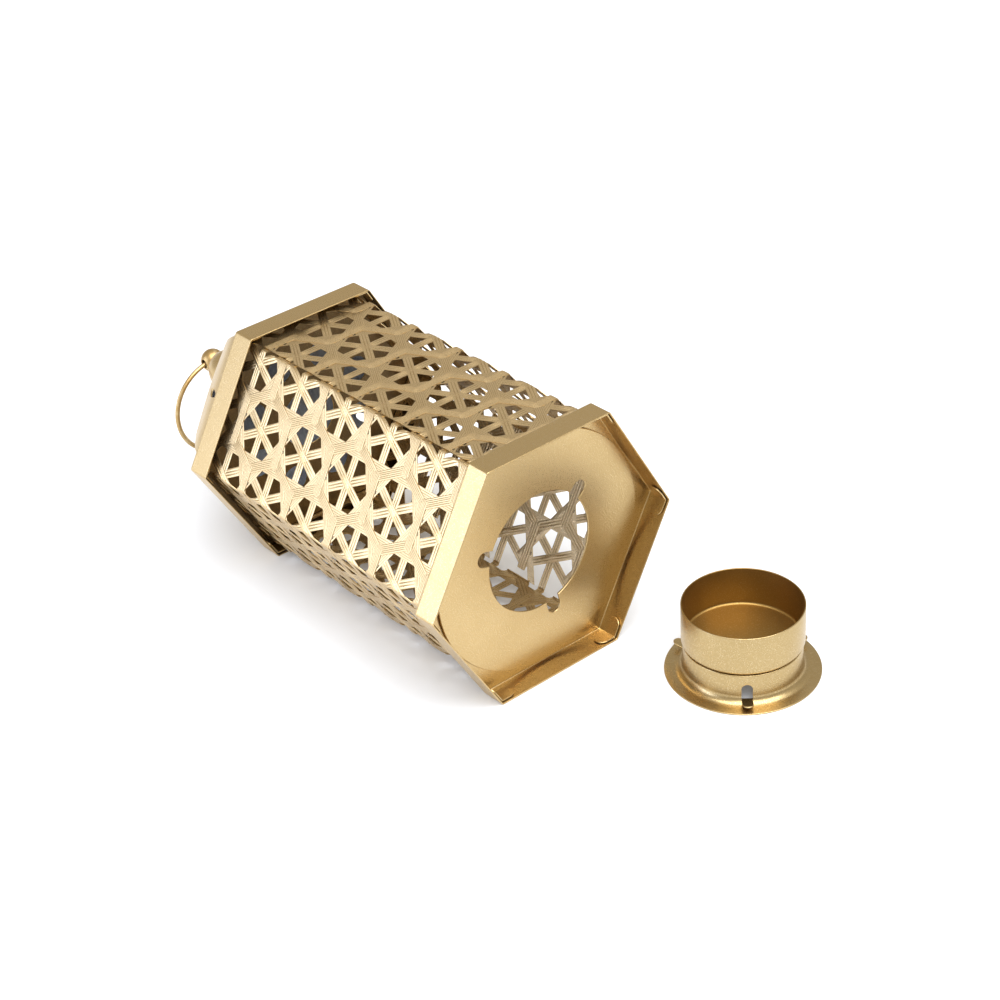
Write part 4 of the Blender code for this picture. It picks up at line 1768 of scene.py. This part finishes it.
@dataclass
class CandleCup:
    """The pan that holds the tea light and the flared foot with its windows and bent-out lugs."""

    finish: bpy.types.Material
    shaded_inside_finish: bpy.types.Material
    place: tuple[float, float] = (46.05 * MM, 45.03 * MM)
    pan_radius: float = 20.75 * MM
    pan_depth: float = 14.9 * MM
    sheet: float = 0.5 * MM
    pan_edge: float = 1.5 * MM
    collar_height: float = 11.3 * MM
    neck: float = 20.15 * MM
    lip: float = 3.0 * MM
    fillet: float = 3.0 * MM
    flange: float = 26.5 * MM
    flange_sheet: float = 0.5 * MM
    shoulder: float = 0.4 * MM
    window_width: float = 3.75 * MM
    window_low: float = 1.7 * MM
    window_high: float = 7.7 * MM
    window_corner: float = 0.4 * MM
    lug_reach: float = 26.0 * MM
    lug_rise: float = 1.4 * MM
    lug_bend: float = 0.9 * MM
    lug_dish: float = 0.35 * MM
    lug_root: float = 0.2 * MM
    lug_edge: float = 0.1 * MM
    lug_creases: tuple[float, ...] = (0.3 * MM, 0.8 * MM, 1.3 * MM, 1.8 * MM, 2.4 * MM, 3.2 * MM)
    lug_phase: float = radians(78)
    lugs: int = 3
    segments: int = 160

    @property
    def stand(self) -> Matrix:
        """The cup's place on the floor."""
        return Matrix.Translation((*self.place, 0))

    def pan(self) -> bpy.types.Object:
        """Makes the straight-sided pan.

        Returns:
            The piece.
        """
        middle = (self.pan_radius - self.pan_edge, self.pan_edge)
        half = self.sheet / 2
        outside = arc(middle, self.pan_edge, -pi / 2, 0, 8)
        rim = arc((self.pan_radius - half, self.pan_depth - half), half, 0, pi, RIM_STEPS)
        inside = arc(middle, self.pan_edge - self.sheet, 0, -pi / 2, 8)
        ring = self.pan_radius - 4.5 * MM
        under = [(0.4 * MM, 0.0), (ring, 0.0)]
        over = [(ring, self.sheet), (0.4 * MM, self.sheet)]
        profile = [*under, *outside, *rim, *inside, *over]
        place = self.stand @ Matrix.Translation((0, 0, self.collar_height + GAP))
        mesh = mesh_from("pan", plug(turned(profile, self.segments)), place)
        piece = shown("pan", mesh, self.finish, self.shaded_inside_finish)
        floor = self.collar_height + GAP + self.sheet / 2
        inner = self.pan_radius - self.sheet / 2
        # The pan's inside faces take the darker inside finish: painted shade in the pan.
        for face in mesh.polygons:
            out = (face.center.xy - Vector(self.place)).length
            if out < inner and face.center.z > floor:
                face.material_index = 1
        return fitted(piece, Body.CUP, Slot.SHEET, "candle_pan")

    def _window(self, angle: float) -> bpy.types.Mesh:
        """Makes the tool for a round-ended upright slot through the neck.

        Args:
            angle: Where the slot is round the cup.

        Returns:
            The tool.
        """
        half, low, corner = self.window_width / 2, self.window_low, self.window_corner
        outline = arc((0, self.window_high - half), half, 0, pi, 18)
        outline += [(-half, low + corner), (-half + corner, low), (half - corner, low), (half, low + corner)]
        ends = (self.neck - self.fillet, self.neck + self.fillet)
        rings = [[Vector((reach, y, z)) for y, z in outline] for reach in ends]
        return mesh_from("window", plug(rings), self.stand @ Matrix.Rotation(angle, 4, "Z"))

    def _lug(self, angle: float) -> bpy.types.Mesh:
        """Makes a tongue bent out of a window's foot, rising a little to its round tip.

        Args:
            angle: Where the tongue is round the cup.

        Returns:
            The tongue.
        """
        start = self.neck - self.sheet / 2
        half = self.window_width / 2
        tip = arc((self.lug_reach - start - half, 0), half, -pi / 2, pi / 2, 16)
        outline = [(-self.lug_root, -half), *tip, (-self.lug_root, half)]
        bm = slab([outline], -self.sheet, 0, self.lug_edge)
        for x in self.lug_creases:
            sliced(bm, (x, 0, 0), (1, 0, 0))
        reach = self.lug_reach - start
        for vert in bm.verts:
            x, y, z = vert.co
            share = max(0.0, min(1.0, x / reach))
            dip = self.lug_dish * (2 * y / self.window_width) ** 2
            rise = self.lug_rise * share + self.lug_bend * 0.35 * max(0.0, 1 - share * 3) + dip * 0.6 * share
            vert.co = Vector((start + x, y, self.window_low + z + rise))
        return mesh_from("lug", bm, self.stand @ Matrix.Rotation(angle, 4, "Z"))

    def collar(self) -> bpy.types.Object:
        """Makes the foot: a lip under the pan, the neck, the fillet, the flange, the windows and the lugs.

        Returns:
            The piece.
        """
        middle = (self.neck + self.fillet, self.flange_sheet + self.fillet)
        half = self.flange_sheet / 2
        rim = arc((self.flange - half, half), half, -pi / 2, pi / 2, RIM_STEPS)
        outside = arc(middle, self.fillet, 3 * pi / 2, pi, 10)
        inside = arc(middle, self.fillet + self.sheet, pi, 3 * pi / 2, 10)
        inside = [(radius, max(height, 0.0)) for radius, height in inside]
        top = self.collar_height
        lip = self.neck - self.lip
        shoulder = arc((self.neck - self.shoulder, top - self.shoulder), self.shoulder, 0, pi / 2, 4)
        profile = [*rim, *outside, *shoulder, (lip, top), (lip, top - self.sheet)]
        profile += [(self.neck - self.sheet, top - self.sheet), *inside]
        mesh = mesh_from("collar", band(turned(profile, self.segments)), self.stand)
        piece = shown("collar", mesh, self.finish)
        angles = [self.lug_phase + 2 * pi * i / self.lugs for i in range(self.lugs)]
        cut_by(piece, [self._window(angle) for angle in angles], "DIFFERENCE")
        cut_by(piece, [self._lug(angle) for angle in angles], "UNION")
        return fitted(piece, Body.CUP, Slot.SHEET, "bayonet_collar")

    def build(self) -> None:
        """Makes the cup's two pieces."""
        self.pan()
        self.collar()


# The studio


@dataclass
class Studio:
    """A plain pale floor, soft lights, a pale surround and the camera."""

    floor_finish: bpy.types.Material
    floor_half: float = 4.0
    aim: tuple = (-0.05, 0.0, 0.04)
    surround: tuple = rgb(1.0, 0.94, 0.84)
    surround_strength: float = 0.61
    camera_place: tuple = (0.47356, -0.40002, 0.45707)
    camera_right: tuple = (0.65283345, 0.75559886, -0.0536548)
    camera_down: tuple = (0.3734458, -0.38266185, -0.8450492)
    camera_ahead: tuple = (-0.65904986, 0.53163923, -0.53198968)
    lens: float = 81.48

    def _floor(self) -> None:
        """Lays the floor."""
        bm = bmesh.new()
        half = self.floor_half
        corners = ((-half, -half), (half, -half), (half, half), (-half, half))
        bm.faces.new([bm.verts.new((x, y, 0)) for x, y in corners])
        mesh = bpy.data.meshes.new("floor")
        bm.to_mesh(mesh)
        bm.free()
        shown("floor", mesh, self.floor_finish)

    def _light(self, name: str, place: tuple, size: tuple, power: float, colour: tuple) -> None:
        """Adds a soft rectangular light that faces the lantern.

        Args:
            name: The light's name.
            place: Where it stands.
            size: Its two sides.
            power: How strong it is, in watts.
            colour: Its colour.
        """
        data = bpy.data.lights.new(name, "AREA")
        data.shape = "RECTANGLE"
        data.size, data.size_y = size
        data.energy = power
        data.color = colour
        light = bpy.data.objects.new(name, data)
        bpy.context.scene.collection.objects.link(light)
        light.location = place
        light.rotation_euler = (Vector(self.aim) - Vector(place)).to_track_quat("-Z", "Y").to_euler()

    def _camera(self) -> None:
        """Sets the camera at the photograph's angle."""
        data = bpy.data.cameras.new("camera")
        data.lens = self.lens
        camera = bpy.data.objects.new("camera", data)
        bpy.context.scene.collection.objects.link(camera)
        columns = (self.camera_right, [-v for v in self.camera_down], [-v for v in self.camera_ahead])
        turn = Matrix([[column[row] for column in columns] for row in range(3)])
        camera.matrix_world = Matrix.Translation(self.camera_place) @ turn.to_4x4()
        bpy.context.scene.camera = camera

    def build(self) -> None:
        """Sets the studio up."""
        self._floor()
        world = bpy.data.worlds.new("surround")
        world.use_nodes = True
        background = world.node_tree.nodes["Background"]
        background.inputs["Color"].default_value = self.surround
        background.inputs["Strength"].default_value = self.surround_strength
        scene = bpy.context.scene
        scene.world = world
        scene.view_settings.view_transform = "Standard"
        self._light("key", (-0.90, -1.70, 0.50), (1.5, 1.2), 16, (0.84, 0.98, 1.36))
        self._light("overhead", (0.55, -0.10, 1.52), (1.8, 1.8), 48, (0.98, 1.0, 1.04))
        self._camera()


# Everything together


class Station:
    """Places along the lantern's axis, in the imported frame's X."""

    BASE_BACK = -Tray.height / 2
    BASE_RIM = Tray.height / 2
    DISC_BACK = BASE_BACK + (Tray.sheet + GAP)
    BODY_NEAR = BASE_BACK - GAP
    BODY_FAR = BODY_NEAR - BODY_LENGTH
    TOP_BACK = BODY_FAR - (Tray.sheet + GAP)
    TOP_RIM = TOP_BACK + Tray.height
    ROOF_FOOT = TOP_BACK - GAP
    ROOF_TOP = ROOF_FOOT - Roof.height
    BELL_TOP = ROOF_TOP + BELL_OVERLAP - Finial.bell_height
    BALL_SEAT = BELL_TOP - GAP
    BALL_CENTRE = BALL_SEAT - sqrt(Finial.ball_radius**2 - Finial.neck_radius**2) - NECK_LENGTH
    WASHER_NEAR = ROOF_TOP + (Roof.sheet + GAP)


def lattice(finish: bpy.types.Material) -> None:
    """Makes the two folded sheets of the body: the front one passes under the other at the seams.

    Args:
        finish: Their finish.
    """
    width = BODY_CORNER
    cell = CaneCell()
    common = {"near": Station.BODY_NEAR, "far": Station.BODY_FAR, "finish": finish, "cell": cell}
    LatticeSheet(
        name="front_sheet",
        nodes=("lattice_panel_1", "lattice_panel_2", "lattice_panel_3"),
        middle_face=radians(210),
        first_row=1.5 * MM - width - 2 * cell.row_pitch,
        first_column=-81.2 * MM - 3 * cell.pitch,
        start=-1.5 * width - 3.6 * MM,
        end=1.5 * width + 0.9 * MM,
        under=0.75 * MM,
        **common,
    ).build()
    LatticeSheet(
        name="rear_sheet",
        nodes=("lattice_panel_4", "lattice_panel_5", "lattice_panel_6"),
        middle_face=radians(30),
        first_row=18.5 * MM + width - 6 * cell.row_pitch,
        first_column=-57.0 * MM - 4 * cell.pitch,
        start=-1.5 * width + 0.5 * MM,
        end=1.5 * width - 1.6 * MM,
        under=0.0,
        **common,
    ).build()


def all_finishes() -> Finishes:
    """Makes every finish of the lantern.

    Returns:
        The finishes, each under the name of its use.
    """
    return Finishes(
        sheet=SprayedGold().build(),
        # A darker copy of the gold: painted shade for the tray faces inside the lantern.
        inner=SprayedGold(
            name="gold painted dark as shade inside",
            colour=rgb(0.23, 0.165, 0.085),
            deep=rgb(0.10, 0.07, 0.035),
            flake=rgb(0.40, 0.30, 0.16),
            roughness=0.40,
        ).build(),
        # A darker copy of the gold: painted shade inside the cup's pan.
        deep=SprayedGold(
            name="gold painted dark as shade in the cup",
            colour=rgb(0.34, 0.21, 0.065),
            deep=rgb(0.28, 0.165, 0.045),
            flake=rgb(0.48, 0.34, 0.15),
            roughness=0.42,
        ).build(),
        # A darker copy of the gold: painted shade on the cup.
        cup=SprayedGold(
            name="champagne gold on the cup, painted darker as shade",
            colour=rgb(0.47, 0.345, 0.165),
            deep=rgb(0.38, 0.265, 0.105),
        ).build(),
        # A lighter copy of the gold: painted light on the lattice, which also paints shade into its grooves.
        pressed=SprayedGold(
            name="pressed champagne gold, painted lighter",
            colour=rgb(0.70, 0.53, 0.29),
            deep=rgb(0.60, 0.43, 0.20),
            pressed=True,
        ).build(),
        fittings=TurnedGold().build(),
        steel=BareSteel().build(),
    )


def main() -> None:
    """Builds the lantern piece by piece, then the studio."""
    logging.basicConfig(level=logging.INFO, format="%(name)s: %(message)s")
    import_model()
    finishes = all_finishes()
    sheet, inner = finishes.sheet, finishes.inner
    # inner, a darker copy of the gold, is painted shade on the base tray's back and the top tray's front,
    # inside the lantern.
    base = Tray("base_dish", Station.BASE_BACK, BASE_HOLE, sheet, inner, sheet).build()
    fitted(base, Body.LANTERN, Slot.SHEET, "base_tray")
    top = Tray("top_dish", Station.TOP_BACK, TOP_HOLE, sheet, sheet, inner).build()
    reach = (Station.TOP_BACK - 1.0 * MM, Station.TOP_BACK + 1.5 * MM)
    drill_ring(top, VENTS, VENT_RING, VENT_RADIUS, VENT_PHASE, reach)
    fitted(top, Body.LANTERN, Slot.SHEET, "top_tray")
    CornerStraps("base", Station.BASE_RIM, sheet).build()
    CornerStraps("top", Station.TOP_RIM, sheet).build()
    BayonetDisc(sheet, Station.DISC_BACK).build()
    lattice(finishes.pressed)
    Roof(sheet, finishes.steel, Station.ROOF_FOOT).build()
    Finial(
        sheet,
        finishes.fittings,
        finishes.steel,
        Station.BELL_TOP,
        Station.BALL_SEAT,
        Station.BALL_CENTRE,
        Station.WASHER_NEAR,
    ).build()
    HangingRing(finishes.fittings, Station.BALL_CENTRE).build()
    CandleCup(finishes.cup, finishes.deep).build()
    Studio(PaleFloor().build()).build()


if __name__ == "__main__":
    main()
